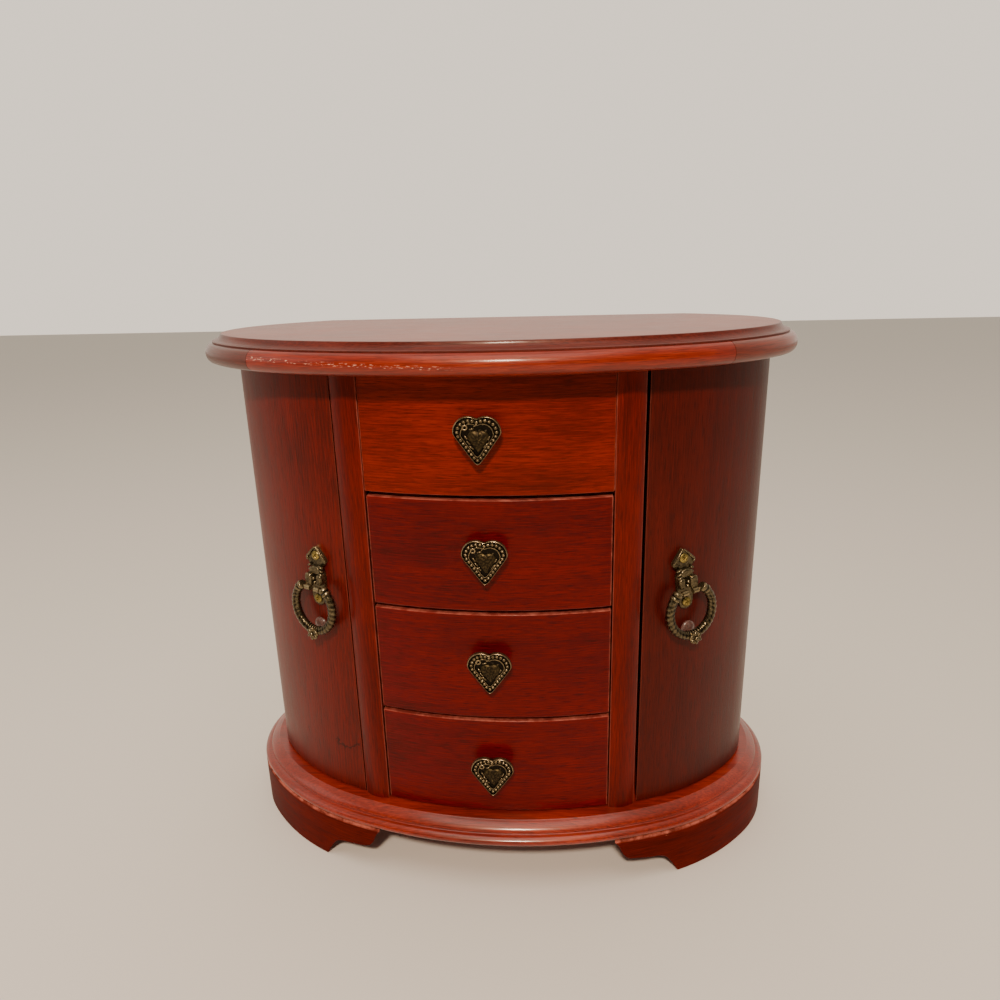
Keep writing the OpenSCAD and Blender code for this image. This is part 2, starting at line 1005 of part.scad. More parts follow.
door_hinge_leaves(1);  // door_right_hinge_leaves
door_hooks(1);  // door_right_hooks
door_pouch(1);  // door_right_pouch
pull_plate(1);  // door_right_pull_plate
pull_screws(1);  // door_right_pull_screws
bumper(1);  // door_right_bumper
ring(1);  // ring_right
drawer_front(0);  // lower_drawer_front
drawer_box(0);  // lower_drawer_box
drawer_lining(0);  // lower_drawer_lining
knob(0);  // lower_drawer_knob
knob_screw(0);  // lower_drawer_knob_screw
drawer_front(1);  // middle_drawer_front
drawer_box(1);  // middle_drawer_box
drawer_lining(1);  // middle_drawer_lining
knob(1);  // middle_drawer_knob
knob_screw(1);  // middle_drawer_knob_screw
drawer_front(2);  // upper_drawer_front
drawer_box(2);  // upper_drawer_box
drawer_lining(2);  // upper_drawer_lining
knob(2);  // upper_drawer_knob
knob_screw(2);  // upper_drawer_knob_screw
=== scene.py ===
import math

import bmesh
import bpy
from mathutils import Matrix, Vector, noise


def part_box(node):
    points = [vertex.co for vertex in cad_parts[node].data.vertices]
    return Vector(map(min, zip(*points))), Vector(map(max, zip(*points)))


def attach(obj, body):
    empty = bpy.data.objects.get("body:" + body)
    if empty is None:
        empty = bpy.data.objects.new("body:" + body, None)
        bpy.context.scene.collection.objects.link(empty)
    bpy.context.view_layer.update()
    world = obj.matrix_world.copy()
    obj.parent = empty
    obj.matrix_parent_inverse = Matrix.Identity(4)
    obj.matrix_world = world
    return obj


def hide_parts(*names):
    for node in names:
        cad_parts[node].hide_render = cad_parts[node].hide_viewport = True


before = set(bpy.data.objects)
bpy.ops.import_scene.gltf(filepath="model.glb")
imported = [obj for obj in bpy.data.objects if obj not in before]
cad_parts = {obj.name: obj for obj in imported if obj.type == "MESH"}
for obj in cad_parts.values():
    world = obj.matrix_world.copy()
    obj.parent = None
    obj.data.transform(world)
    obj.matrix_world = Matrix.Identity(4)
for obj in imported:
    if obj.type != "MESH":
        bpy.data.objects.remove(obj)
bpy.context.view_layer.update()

MM = 0.001
SIDES = {-1: "left", 1: "right"}
DRAWERS = ["lower_drawer", "middle_drawer", "upper_drawer"]

# ---- driving sizes

HALF_W = 148.4
HALF_D = 85.1
BACK_Y = 62
TOTAL_H = 300
FOOT_H = 29.5
LEDGE_Z = 40.3
FOOT_OUT = 14.6
LID_OUT = 18.7
LID_SHIFT = -2
LID_TUCK = 4
SQUEEZE = (HALF_W + LID_OUT - LID_TUCK) / (HALF_W + LID_OUT)
LID_BACK = BACK_Y + 2
LID_TOP_T = 4.7
RIM_T = 10.6
RIM_Z = TOTAL_H - LID_TOP_T - RIM_T
CASE_TOP = RIM_Z - 0.5
RIM_JOINT = {-1: 31.8, 1: 33.9}
BAY_HALF = 62.5
PILLAR_W = 14.2
PILLAR_BACK = -60
DOOR_EDGE = {-1: BAY_HALF + PILLAR_W + 0.6, 1: BAY_HALF + PILLAR_W + 1.6}
DOOR_T = 8
DOOR_LOW = LEDGE_Z + 1
DOOR_HIGH = CASE_TOP - 0.8
SEAM_DIR = 122
SEAM_HALF = 0.43
POST_T = 12
FRONT_SET = 1
FRONT_T = 10
FRONT_H = [57.7, 60.4, 59.1]
FRONT_GAP = 2.2
KNOB_RISE = [-0.9, 1.1, 0.3, 0]
KNOB_X = [-0.5, -0.3, -0.9, -2.5]
PULL_DIR = {-1: 24.6, 1: 27.5}
PULL_LEAN = {-1: 2.7, 1: 7.2}
PIVOT_Z = 169
PIVOT_OUT = 6
RING_R = 12.9
RING_TALL = 1.1
RING_BAR = 2.5
RING_END = 8.2
HOOK_Z = 256
PAD_HALF = 56.1
PAD_FRONT = 13.4
PAD_BACK = BACK_Y - 17.4
BOX_FLOOR = 3

# ---- the oval plan

FRONT_R = 0.94 * HALF_W * HALF_W / HALF_D
SHOULDER_R = 0.49 * FRONT_R
TURN_1 = 21
FRONT_C = Vector((0, FRONT_R - HALF_D))
SHOULDER_C = FRONT_C + (FRONT_R - SHOULDER_R) * Vector(
    (math.sin(math.radians(TURN_1)), -math.cos(math.radians(TURN_1))))
RUN = HALF_W - SHOULDER_C.x
END_R = (SHOULDER_R ** 2 - RUN ** 2 - SHOULDER_C.y ** 2) / (2 * (SHOULDER_R - RUN))
END_C = Vector((HALF_W - END_R, 0))
TURN_2 = math.degrees(math.atan2(END_C.x - SHOULDER_C.x, SHOULDER_C.y - END_C.y))
# Each arc: centre, radius, first and last direction. 0 is the front, 90 the right end, 180 the back.
ARCS = [
    (FRONT_C, FRONT_R, 0, TURN_1),
    (SHOULDER_C, SHOULDER_R, TURN_1, TURN_2),
    (END_C, END_R, TURN_2, 180 - TURN_2),
    (Vector((SHOULDER_C.x, -SHOULDER_C.y)), SHOULDER_R, 180 - TURN_2, 180 - TURN_1),
    (-FRONT_C, FRONT_R, 180 - TURN_1, 180),
]


def oval(direction, off):
    """The point of the oval, moved outwards by off, where it faces the direction, in degrees."""
    side = -1 if direction < 0 else 1
    for centre, radius, first, last in ARCS:
        if abs(direction) <= last + 1e-6:
            turn = math.radians(abs(direction))
            x = centre.x + (radius + off) * math.sin(turn)
            return side * x, centre.y - (radius + off) * math.cos(turn)


def along(direction):
    """Length round the oval from the front to the direction."""
    length = 0
    for centre, radius, first, last in ARCS:
        length += radius * math.radians(max(0, min(abs(direction), last) - first))
    return math.copysign(length, direction)


def found(test, low, high):
    """The direction between low and high at which test turns true."""
    for _ in range(40):
        middle = (low + high) / 2
        low, high = (low, middle) if test(middle) else (middle, high)
    return (low + high) / 2


def reach(y):
    """The direction at which a line moved outwards by off reaches the flat back at y."""
    return lambda off: found(lambda d: oval(d, off)[1] >= y, 90, 179)


def across(x):
    """The direction at which a line moved outwards by off reaches x, near the front."""
    return lambda off: math.copysign(found(lambda d: oval(d, off)[0] >= abs(x), 0, 80), x)


# ---- meshes

back_low, back_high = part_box("back_panel")
ORIGIN = Vector(((back_low.x + back_high.x) / 2, back_high.y - BACK_Y * MM, 0))


def place(point):
    """A point of the case, in millimetres, in the shared frame."""
    return ORIGIN + Vector(point) * MM


def curve(points, steps=5):
    """A smooth line through the points, for mouldings and outlines."""
    line = []
    last = len(points) - 1
    for i in range(last):
        a, b, c, d = (Vector(points[min(max(k, 0), last)]) for k in (i - 1, i, i + 1, i + 2))
        for s in range(steps):
            t = s / steps
            line.append(tuple(0.5 * (2 * b + (c - a) * t + (2 * a - 5 * b + 4 * c - d) * t * t
                                     + (3 * b - a - 3 * c + d) * t ** 3)))
    return line + [tuple(points[-1])]


class Piece:
    """One visible piece, gathered from closed lofts and then made into an object that rides on a body."""

    def __init__(self, name, *materials):
        self.name = name
        self.materials = materials
        self.points, self.faces, self.finish_of, self.grain, self.edges = [], [], [], [], []

    def loft(self, rows, grain=None, edges=None, material=0, ring=False):
        """Closed loops of points joined in order. A ring's last loop joins its first, and others are capped."""
        base, count = len(self.points), len(rows[0])
        for r, row in enumerate(rows):
            for i, point in enumerate(row):
                self.points.append(tuple(point))
                self.grain.append(tuple(grain[r][i]) if grain else tuple(point))
                self.edges.append(tuple(edges[r][i]) if edges else (50, 50, 50, 50))
        pairs = list(zip(range(len(rows)), range(1, len(rows))))
        if ring:
            pairs.append((len(rows) - 1, 0))
        made = [
            (base + a * count + i, base + a * count + (i + 1) % count,
             base + b * count + (i + 1) % count, base + b * count + i)
            for a, b in pairs for i in range(count)
        ]
        if not ring:
            made.append(tuple(base + i for i in range(count)))
            made.append(tuple(base + (len(rows) - 1) * count + i for i in range(count)))
        self.faces += made
        self.finish_of += [material] * len(made)
        return self

    def make(self, body, slot, replaces=(), soften=0, move=None, sharp=40, smooth=True):
        """Makes the object. soften rounds its hard edges, and move places points given in another frame."""
        points = [move @ Vector(p) for p in self.points] if move else self.points
        mesh = bpy.data.meshes.new(self.name)
        mesh.from_pydata([place(p) for p in points], [], self.faces)
        for material in self.materials:
            mesh.materials.append(material)
        mesh.polygons.foreach_set("material_index", self.finish_of)
        grain = mesh.attributes.new("grain", "FLOAT_VECTOR", "POINT")
        grain.data.foreach_set("vector", [c for g in self.grain for c in g])
        edges = mesh.attributes.new("edges", "FLOAT_COLOR", "POINT")
        edges.data.foreach_set("color", [c for e in self.edges for c in e])
        work = bmesh.new()
        work.from_mesh(mesh)
        bmesh.ops.recalc_face_normals(work, faces=work.faces)
        if soften:
            hard = [e for e in work.edges if e.calc_face_angle(0) > math.radians(sharp)]
            bmesh.ops.bevel(work, geom=hard, offset=soften * MM, segments=3, profile=0.5,
                            affect="EDGES", clamp_overlap=True)
        for face in work.faces:
            face.smooth = smooth
        if not soften:
            for edge in work.edges:
                edge.smooth = edge.calc_face_angle(0) < math.radians(sharp)
        work.to_mesh(mesh)
        work.free()
        piece = bpy.data.objects.new(self.name, mesh)
        bpy.context.scene.collection.objects.link(piece)
        normals = piece.modifiers.new("even shading", "WEIGHTED_NORMAL")
        normals.keep_sharp = True
        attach(piece, body)
        if replaces:
            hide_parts(*replaces)
        return piece


def turns(count):
    """Angles spaced evenly round a full turn."""
    return [2 * math.pi * k / count for k in range(count)]


def circle(radius, count=24, squash=1, at=(0, 0)):
    """Points of a circle or an oval, for the loops of lofts."""
    return [(at[0] + radius * math.cos(a), at[1] + squash * radius * math.sin(a)) for a in turns(count)]


def shrunk(outline, middle, inset, least):
    """The outline drawn in towards its middle by an inset, down to a least share of its size."""
    middle, loop = Vector(middle), []
    for point in outline:
        away = Vector(point) - middle
        loop.append(middle + away * max(least, 1 - inset / max(1, away.length)))
    return loop


def flipped(rows, side):
    """Loops made for the right side, on the side asked for."""
    return [[(side * p[0], p[1], p[2]) for p in row] for row in rows]


def ball(centre, size, turn=0, count=14, rings=8):
    """Loops of an egg shape, size its three half-lengths, turned in the plane of the front."""
    cos, sin = math.cos(math.radians(turn)), math.sin(math.radians(turn))
    rows = []
    for k in range(rings + 1):
        lift = math.pi * (0.02 + 0.96 * k / rings)
        rows.append([
            (centre[0] + cos * size[0] * x - sin * size[2] * z, centre[1] - size[1] * math.cos(lift),
             centre[2] + sin * size[0] * x + cos * size[2] * z)
            for x, z in circle(math.sin(lift), count)
        ])
    return rows


def tube(path, radius, count=12):
    """Loops of a round bar along a path. radius is a number, or a function of the place along the path."""
    rows = []
    for k, point in enumerate(path):
        here = Vector(point)
        ahead = Vector(path[min(k + 1, len(path) - 1)]) - Vector(path[max(k - 1, 0)])
        ahead.normalize()
        side = ahead.cross(Vector((0, 1, 0)) if abs(ahead.y) < 0.8 else Vector((1, 0, 0))).normalized()
        up = side.cross(ahead)
        size = radius(k / (len(path) - 1)) if callable(radius) else radius
        rows.append([tuple(here + side * x + up * y) for x, y in circle(size, count)])
    return rows


def sweep(section, start, stop, steps, vertical=False, shift=0, narrow=1):
    """Loops of a section carried round the oval between two directions, with its grain and edge distances."""
    low, high = min(z for _, z in section), max(z for _, z in section)
    first, last = along(start(0)), along(stop(0))
    left, right = min(first, last), max(first, last)
    rows, grain, edges = [], [], []
    for k in range(steps + 1):
        row, veins, limits = [], [], []
        for off, z in section:
            direction = start(off) + (stop(off) - start(off)) * k / steps
            x, y = oval(direction, off)
            run = along(direction)
            row.append((narrow * x + shift, y, z))
            veins.append((z, run, off) if vertical else (run, z, off))
            limits.append((run - left, right - run, z - low, high - z))
        rows.append(row)
        grain.append(veins)
        edges.append(limits)
    return {"rows": rows, "grain": grain, "edges": edges}


def board(name, material, start, stop, faces, heights, steps, vertical=False):
    """A bent board between two offsets from the oval and two heights."""
    section = [(faces[0], heights[0]), (faces[1], heights[0]), (faces[1], heights[1]), (faces[0], heights[1])]
    return Piece(name, material).loft(**sweep(section, start, stop, steps, vertical))


def moulded(name, material, edge, back, steps=150, shift=0, narrow=1):
    """A flat board whose moulded edge follows the oval and whose back is straight."""
    rows, grain = [], []
    for off, z in edge:
        far = reach(back)(off)
        row = [oval(far * (2 * k / steps - 1), off) for k in range(steps + 1)]
        straight = [(row[-1][0] + (row[0][0] - row[-1][0]) * k / 12, back) for k in range(1, 12)]
        loop = [(narrow * x + shift, y, z) for x, y in row + straight]
        rows.append(loop)
        grain.append([(x, y, z) for x, y, z in loop])
    return Piece(name, material).loft(rows, grain)


# ---- materials


def lin(colour):
    """An sRGB hex colour as linear RGBA."""
    parts = [int(colour[i:i + 2], 16) / 255 for i in (1, 3, 5)]
    return tuple(c / 12.92 if c <= 0.04045 else ((c + 0.055) / 1.055) ** 2.4 for c in parts) + (1,)


def add(tree, kind, inputs=None, stops=(), **settings):
    """Adds one node. inputs maps sockets to values or to other nodes' outputs, and stops are a ramp's colours."""
    node = tree.nodes.new("ShaderNode" + kind)
    for key, value in settings.items():
        setattr(node, key, value)
    for key, value in (inputs or {}).items():
        if isinstance(value, bpy.types.NodeSocket):
            tree.links.new(value, node.inputs[key])
        else:
            node.inputs[key].default_value = value
    for i, (spot, colour) in enumerate(stops):
        element = node.color_ramp.elements[i] if i < 2 else node.color_ramp.elements.new(spot)
        element.position = spot
        element.color = lin(colour)
    return node


def material(name, **values):
    """A new material with its shader's plain values set."""
    made = bpy.data.materials.new(name)
    made.use_nodes = True
    tree = made.node_tree
    shader = tree.nodes["Principled BSDF"]
    for key, value in values.items():
        socket = shader.inputs[key.replace("_", " ").title().replace("Ior", "IOR")]
        socket.default_value = lin(value) if isinstance(value, str) else value
    return made, tree, shader


def finish(tree, shader, colour, gloss=None, height=None, strength=0, depth=0):
    """Joins a colour, a gloss and a relief, its depth in millimetres, to the shader."""
    tree.links.new(colour, shader.inputs["Base Color"])
    if gloss:
        tree.links.new(gloss, shader.inputs["Roughness"])
    if height:
        bump = add(tree, "Bump", {"Height": height, "Strength": strength, "Distance": depth * MM})
        tree.links.new(bump.outputs[0], shader.inputs["Normal"])


def maths(tree, operation, *values):
    """One sum of the kind that Blender's Math node does."""
    return add(tree, "Math", dict(enumerate(values)), operation=operation).outputs[0]


def spread(tree, value, low, high, start=0, stop=1):
    """The value, with low to high spread over start to stop and held there."""
    return add(tree, "MapRange", {"Value": value, "From Min": low, "From Max": high,
                                  "To Min": start, "To Max": stop}).outputs[0]


def blend(tree, amount, under, over):
    """Two colours mixed: the amount of the second over the first."""
    return add(tree, "Mix", {0: amount, 6: under, 7: over}, data_type="RGBA").outputs[2]


def speckle(tree, where, size, detail=2, **values):
    """Noise with spots of a size in millimetres. Three sizes draw it out along each axis of where."""
    if isinstance(size, tuple):
        scales = tuple(1 / length if length else 0 for length in size)
        where, size = add(tree, "Mapping", {0: where, "Scale": scales}).outputs[0], 1
    values = {key.title(): value for key, value in values.items()}
    return add(tree, "TexNoise", {"Vector": where, "Scale": 1 / size, "Detail": detail, **values}).outputs[0]


def spot_of(tree):
    """The place on the object, in millimetres."""
    return add(tree, "VectorMath", {0: add(tree, "TexCoord").outputs["Object"], "Scale": 1000},
               operation="SCALE").outputs[0]


def grain_of(tree, axis):
    """Millimetres with x along the wood's grain: the piece's own, or the case's along one axis."""
    if axis is None:
        return add(tree, "Attribute", attribute_name="grain").outputs["Vector"]
    parts = add(tree, "SeparateXYZ", {0: add(tree, "TexCoord").outputs["Object"]})
    order = {"x": (0, 2, 1), "y": (1, 0, 2), "z": (2, 0, 1)}[axis]
    swapped = add(tree, "CombineXYZ", {k: parts.outputs[order[k]] for k in range(3)})
    return add(tree, "VectorMath", {0: swapped.outputs[0], "Scale": 1000}, operation="SCALE").outputs[0]


def rub_edges(tree, surface, grain, wear):
    """Chips and rubbing within about a millimetre of the board's edges."""
    limits = add(tree, "Attribute", attribute_name="edges")
    split = add(tree, "SeparateColor", {0: limits.outputs["Color"]})
    nearest = maths(tree, "MINIMUM", split.outputs[0], split.outputs[1])
    nearest = maths(tree, "MINIMUM", nearest, split.outputs[2])
    nearest = maths(tree, "MINIMUM", nearest, limits.outputs["Alpha"])
    rubbed = speckle(tree, grain, 6, 4, roughness=0.7)
    span = spread(tree, rubbed, 0.50, 0.78, -0.3, 2.6 * wear)
    span = maths(tree, "MULTIPLY", span, spread(tree, speckle(tree, grain, 28, 1), 0.50, 0.62))
    bare = spread(tree, maths(tree, "SUBTRACT", span, nearest), 0, 0.6, 0, 0.75)
    surface = blend(tree, bare, surface, lin("#b8745c"))
    # A thin rubbed line right on the arrises, stronger in some places than in others.
    line = spread(tree, nearest, 0.5, 0.2)
    line = maths(tree, "MULTIPLY", line, spread(tree, rubbed, 0.40, 0.62, 0.2, 1.5 * wear))
    return blend(tree, line, surface, lin("#b06050"))


def add_knot(tree, surface, own, knot):
    """A small knot: a dark broken curl 8 mm high and 16 mm wide where the grain bends."""
    away = add(tree, "Mapping", {0: own, "Location": (-knot[0] / 3, -knot[1] / 6, 0), "Scale": (1 / 3, 1 / 6, 0)})
    away = add(tree, "VectorMath", {0: away.outputs[0]}, operation="LENGTH").outputs["Value"]
    away = maths(tree, "MULTIPLY_ADD", speckle(tree, own, 5, 3), 2.6, away)
    curl = maths(tree, "ABSOLUTE", maths(tree, "SUBTRACT", away, 2.5))
    high = add(tree, "SeparateXYZ", {0: own}).outputs[0]
    curl = maths(tree, "MULTIPLY", spread(tree, curl, 0.22, 0.05, 0, 0.85),
                 spread(tree, high, knot[0] + 1.5, knot[0]))
    return blend(tree, curl, surface, lin("#1c0302"))


def add_nicks(tree, surface, grain):
    """Short pale nicks along the left half of the lid's edge, drifting down towards the middle."""
    split = add(tree, "SeparateColor", {0: add(tree, "Attribute", attribute_name="edges").outputs["Color"]})
    drift = maths(tree, "MULTIPLY_ADD", split.outputs[0], -0.028, 7.2)
    away = maths(tree, "ABSOLUTE", maths(tree, "SUBTRACT", split.outputs[2], drift))
    band = maths(tree, "MULTIPLY", spread(tree, away, 1.1, 0.5), spread(tree, split.outputs[0], 105, 90))
    dashes = spread(tree, speckle(tree, grain, (2, 0.55, 0)), 0.58, 0.65, 0, 0.8)
    return blend(tree, maths(tree, "MULTIPLY", band, dashes), surface, lin("#e0a890"))


def cherry(name, dark, middle, light, figure=0, seed=0, wear=0, axis=None, rough=0.36, coat=0.06,
           tint="#d88a68", level=0.3, nicks=False, knot=None):
    """Cherry, stained red and lacquered: fine dark pores, slow bands, a cathedral figure and rubbed edges.

    The lacquer's coat gives the soft window-like gloss, and pale chips show where the stain is knocked off.
    """
    made, tree, shader = material(name, coat_weight=coat, coat_roughness=0.16, ior=1.5, specular_ior_level=level,
                                  specular_tint=tint)
    own = grain_of(tree, axis)
    grain = add(tree, "VectorMath", {0: own, 1: (seed * 173.1, seed * 37.7, seed * 11.3)}, operation="ADD").outputs[0]
    # Streaks 0.6 mm wide and 14 mm long, a little coarser than real pores so that they show.
    fine = speckle(tree, grain, (14, 0.6, 0.6), 4, roughness=0.62)
    # Bands 7 mm wide and 120 mm long, and clouds of stain about 55 mm across.
    broad = speckle(tree, grain, (120, 7, 7), distortion=0.4)
    cloud = speckle(tree, grain, 55)
    # Growth rings cut at a slant: arches whose spacing widens towards the middle of the board.
    parts = add(tree, "SeparateXYZ", {0: grain})
    drift = speckle(tree, grain, (60, 18, 18), 3)
    bow = maths(tree, "POWER", maths(tree, "MULTIPLY", parts.outputs[1], 1 / 9), 2)
    bow = maths(tree, "MULTIPLY_ADD", parts.outputs[0], 1 / 14, bow)
    bow = maths(tree, "MULTIPLY_ADD", drift, 7, bow)
    arch = maths(tree, "SINE", maths(tree, "MULTIPLY", bow, 2.2))
    total = maths(tree, "MULTIPLY_ADD", arch, 0.085 * figure, 0.06)
    for pattern, share in ((fine, 0.43), (broad, 0.18), (cloud, 0.18)):
        total = maths(tree, "MULTIPLY_ADD", pattern, share, total)
    colour = add(tree, "ValToRGB", {0: total}, stops=[(0.32, dark), (0.62, light), (0.48, middle)]).outputs[0]
    # Pores: dark dashes 0.5 mm wide and 7 mm long.
    pores = spread(tree, speckle(tree, grain, (7, 0.5, 0.5), 1), 0.55, 0.72, 0, 0.75)
    surface = blend(tree, pores, colour, lin(dark))
    if wear:
        surface = rub_edges(tree, surface, grain, wear)
    if knot:
        surface = add_knot(tree, surface, own, knot)
    if nicks:
        surface = add_nicks(tree, surface, grain)
    finish(tree, shader, surface, spread(tree, fine, 0.3, 0.7, rough - 0.05, rough + 0.08),
           maths(tree, "SUBTRACT", fine, pores), 0.25, 0.12)
    return made


def cast_brass(name, deep, worn, rough=0.32, rub=0.5):
    """Brass casting, blackened and then rubbed: brown-black hollows, bright high spots, a soft mottled gloss."""
    made, tree, shader = material(name, metallic=0.9)
    spot = spot_of(tree)
    mottle = speckle(tree, spot, 1.1, 4)
    raised = spread(tree, add(tree, "NewGeometry").outputs["Pointiness"], 0.47, 0.60)
    tone = spread(tree, maths(tree, "MULTIPLY_ADD", mottle, 0.7, raised), 0.55, 1.5 - rub)
    finish(tree, shader, blend(tree, tone, lin(deep), lin(worn)),
           spread(tree, mottle, 0, 1, rough + 0.15, rough - 0.12), speckle(tree, spot, 0.5), 0.35, 0.15)
    return made


def velvet(name, deep, pale):
    """Short-pile velvet: a pale sheen on slopes, patches where the nap lies another way, a fine soft pile."""
    made, tree, shader = material(name, roughness=0.95, sheen_weight=0.9, sheen_roughness=0.35,
                                  sheen_tint="#e0a0a0")
    spot = spot_of(tree)
    nap = speckle(tree, spot, 14, 3, distortion=0.8)
    pile = speckle(tree, spot, 0.5)
    colour = add(tree, "ValToRGB", {0: maths(tree, "MULTIPLY_ADD", pile, 0.4, nap)},
                 stops=[(0.45, deep), (0.95, pale)])
    finish(tree, shader, colour.outputs[0], None, pile, 0.5, 0.3)
    return made


def plated(name, colour, stain, rough):
    """Plated metal with faint stains and rubbed patches that vary its gloss."""
    made, tree, shader = material(name, metallic=1)
    patch = speckle(tree, spot_of(tree), 1.6, 4)
    tint = add(tree, "ValToRGB", {0: patch}, stops=[(0.3, stain), (0.6, colour)])
    finish(tree, shader, tint.outputs[0], spread(tree, patch, 0, 1, rough + 0.15, rough - 0.1), patch, 0.2, 0.1)
    return made


def silvered_glass():
    """Silvered mirror glass: a clean reflection with the faintest haze near dust."""
    made, tree, shader = material("silvered mirror glass", metallic=1)
    dust = speckle(tree, spot_of(tree), 20, 6)
    tint = add(tree, "ValToRGB", {0: dust}, stops=[(0.3, "#dfe6e6"), (0.8, "#cfd8d8")])
    finish(tree, shader, tint.outputs[0], spread(tree, dust, 0.4, 0.8, 0.02, 0.10))
    return made


def clear_resin():
    """Soft clear polyurethane bumper: cloudy, slightly pink from the wood behind, with a wet gloss."""
    made, tree, shader = material("clear polyurethane", roughness=0.25, subsurface_weight=0.6, ior=1.48,
                                  subsurface_radius=(0.004, 0.002, 0.0015))
    cloud = speckle(tree, spot_of(tree), 2.5)
    tint = add(tree, "ValToRGB", {0: cloud}, stops=[(0.3, "#543a34"), (0.7, "#705650")])
    finish(tree, shader, tint.outputs[0])
    return made


def black_abs():
    """Moulded black ABS of the magnetic catches: spark-eroded grain and a dull shine."""
    made, tree, shader = material("moulded black ABS", ior=1.53)
    grit = speckle(tree, spot_of(tree), 0.4, 3)
    tint = add(tree, "ValToRGB", {0: grit}, stops=[(0.3, "#141416"), (0.7, "#26262a")])
    finish(tree, shader, tint.outputs[0], spread(tree, grit, 0, 1, 0.4, 0.6), grit, 0.4, 0.1)
    return made


# The lid and the base catch the light from above: a thicker coat and a paler sheen.
THIN_COAT = {"rough": 0.34, "coat": 0.12, "tint": "#e8d0c0"}
THICK_COAT = {"coat": 0.35, "tint": "#f0c8b4", "level": 0.5}
DOOR_WOOD = cherry("red cherry, left door", "#340804", "#5c0e06", "#6c1408", figure=0.3, seed=1, wear=0.15,
                   knot=(72, -90))
DOOR_WOOD_2 = cherry("red cherry, right door", "#260606", "#480c06", "#581008", figure=0.8, seed=5, wear=0.15)
FRONT_WOOD = [
    cherry(f"red cherry, drawer {i + 1}", "#2e0206", "#5c0408", "#740a08", figure=0.4, seed=7 + i, wear=0.5)
    for i in range(3)
]
FALSE_WOOD = cherry("orange-red cherry, false front", "#3a0604", "#6a0e04", "#902206", figure=1.2, seed=12, wear=0.35)
PILLAR_WOOD = cherry("red cherry, pillars", "#340404", "#5c0a04", "#761206", figure=0.2, seed=3, wear=0.25)
# The lid board's colour is lightened: painted glare from the light above its flat top.
LID_WOOD_AND_GLARE = cherry("red cherry, lid board, lightened by painted glare", "#581c0e", "#803014", "#98401e", figure=0.8, seed=4, **THIN_COAT)
# The cove is a darker purple-brown than the board it is cut in: painted reflection of the pale light above.
COVE_WOOD_AND_REFLECTION = cherry("red cherry, cove, with painted reflection", "#3a100c", "#5a1e16", "#6a281c", figure=0.2, seed=11, **THIN_COAT)
RIM_WOOD = cherry("orange-red cherry, lid rim", "#480a02", "#7c1a06", "#a0380e", figure=0.4, seed=6, nicks=True,
                  **THICK_COAT)
# The rim's ends are darker and browner than its front: painted shade where they turn away from the front light,
# deepest on the left end.
RIM_END_WOOD_AND_SHADE = {
    -1: cherry("red cherry, left lid rim, darkened by painted shade", "#34100a", "#52190f", "#662418", figure=0.3, seed=8, coat=0.3,
               tint="#f0c8b4", level=0.45),
    1: cherry("red cherry, right lid rim, browned by painted shade", "#401008", "#68200f", "#7e2e18", figure=0.3, seed=8,
              **THICK_COAT),
}
BASE_WOOD = cherry("red cherry, base moulding", "#480a04", "#801a08", "#a0300c", figure=0.2, seed=9, coat=0.6,
                   tint="#f0c8b4", level=0.6)
FOOT_WOOD = cherry("red cherry, feet", "#320602", "#580e04", "#6e1806", figure=0.3, seed=10, wear=0.8, rough=0.5,
                   coat=0.0, level=0.05)
POST_WOOD = cherry("red cherry, rear posts", "#260606", "#480c06", "#561008", figure=0.3, seed=2)
RIM_BACK_WOOD = cherry("brown-red cherry, rim back", "#3c0e0a", "#571610", "#6c2016", figure=0.3, axis="x")
INNER_WOOD = {
    axis: cherry(f"thinly varnished wood, grain along {axis}", "#5c3420", "#7c4a30", "#946044", axis=axis,
                 rough=0.5, coat=0.05)
    for axis in "xyz"
}
HEART_BRASS = cast_brass("antique brass casting", "#151009", "#b8a27c", rough=0.27, rub=0.0)
HEART_RUB = cast_brass("rubbed golden brass", "#241d12", "#786640", rough=0.45, rub=0.1)
PULL_BRASS = cast_brass("antique brass, ring and plate", "#100c06", "#ac9a74", rough=0.25, rub=-0.3)
SCREW_BRASS = plated("brass-plated screw", "#a08c50", "#4e4422", 0.34)
HINGE_BRASS = plated("brass-plated hinge", "#b8924a", "#86682e", 0.32)
ZINC = plated("zinc-plated screw", "#a8a8a4", "#7c7c78", 0.36)
VELVET = velvet("wine velvet", "#2c060c", "#5a1420")
POUCH_CLOTH = velvet("wine velvet, pouches", "#300810", "#641a26")
MIRROR = silvered_glass()
RESIN = clear_resin()
CATCH = black_abs()

# ---- case


def base_board():
    bead = FOOT_OUT - 0.1
    edge = curve([(bead - 4.2, FOOT_H), (bead - 1.2, FOOT_H + 0.4), (bead, FOOT_H + 2), (bead - 0.5, FOOT_H + 3.7),
                  (bead - 2.2, FOOT_H + 5), (bead - 3.9, FOOT_H + 5.3)], 5)
    edge += curve([(bead - 4.4, FOOT_H + 5.6), (bead - 4.2, FOOT_H + 6.5), (bead - 5.2, FOOT_H + 8),
                   (bead - 7.2, FOOT_H + 9.5), (bead - 9.3, LEDGE_Z - 0.25)], 5)
    edge += [(bead - 9.6, LEDGE_Z - 0.02), (bead - 10, LEDGE_Z)]
    piece = moulded("base_moulded_board", BASE_WOOD, edge, BACK_Y + 1)
    piece.make("case", "cherry_lacquer", ["base_board"], sharp=35)


def foot_rise(x):
    """Height of the bracket's lower edge above the table, from the middle of the case outwards."""
    outline = curve([(62, FOOT_H), (64.5, FOOT_H - 0.2), (67.2, 27.1), (69.6, 21.6), (71.6, 17.9), (75, 16),
                     (82, 14.9), (90, 13.9), (94.6, 12.2), (98, 7.8), (101, 2.6), (101.7, 0)], 6)
    for (x0, z0), (x1, z1) in zip(outline, outline[1:]):
        if x <= x1:
            return z0 + (z1 - z0) * max(0, x - x0) / max(1e-6, x1 - x0)
    return 0


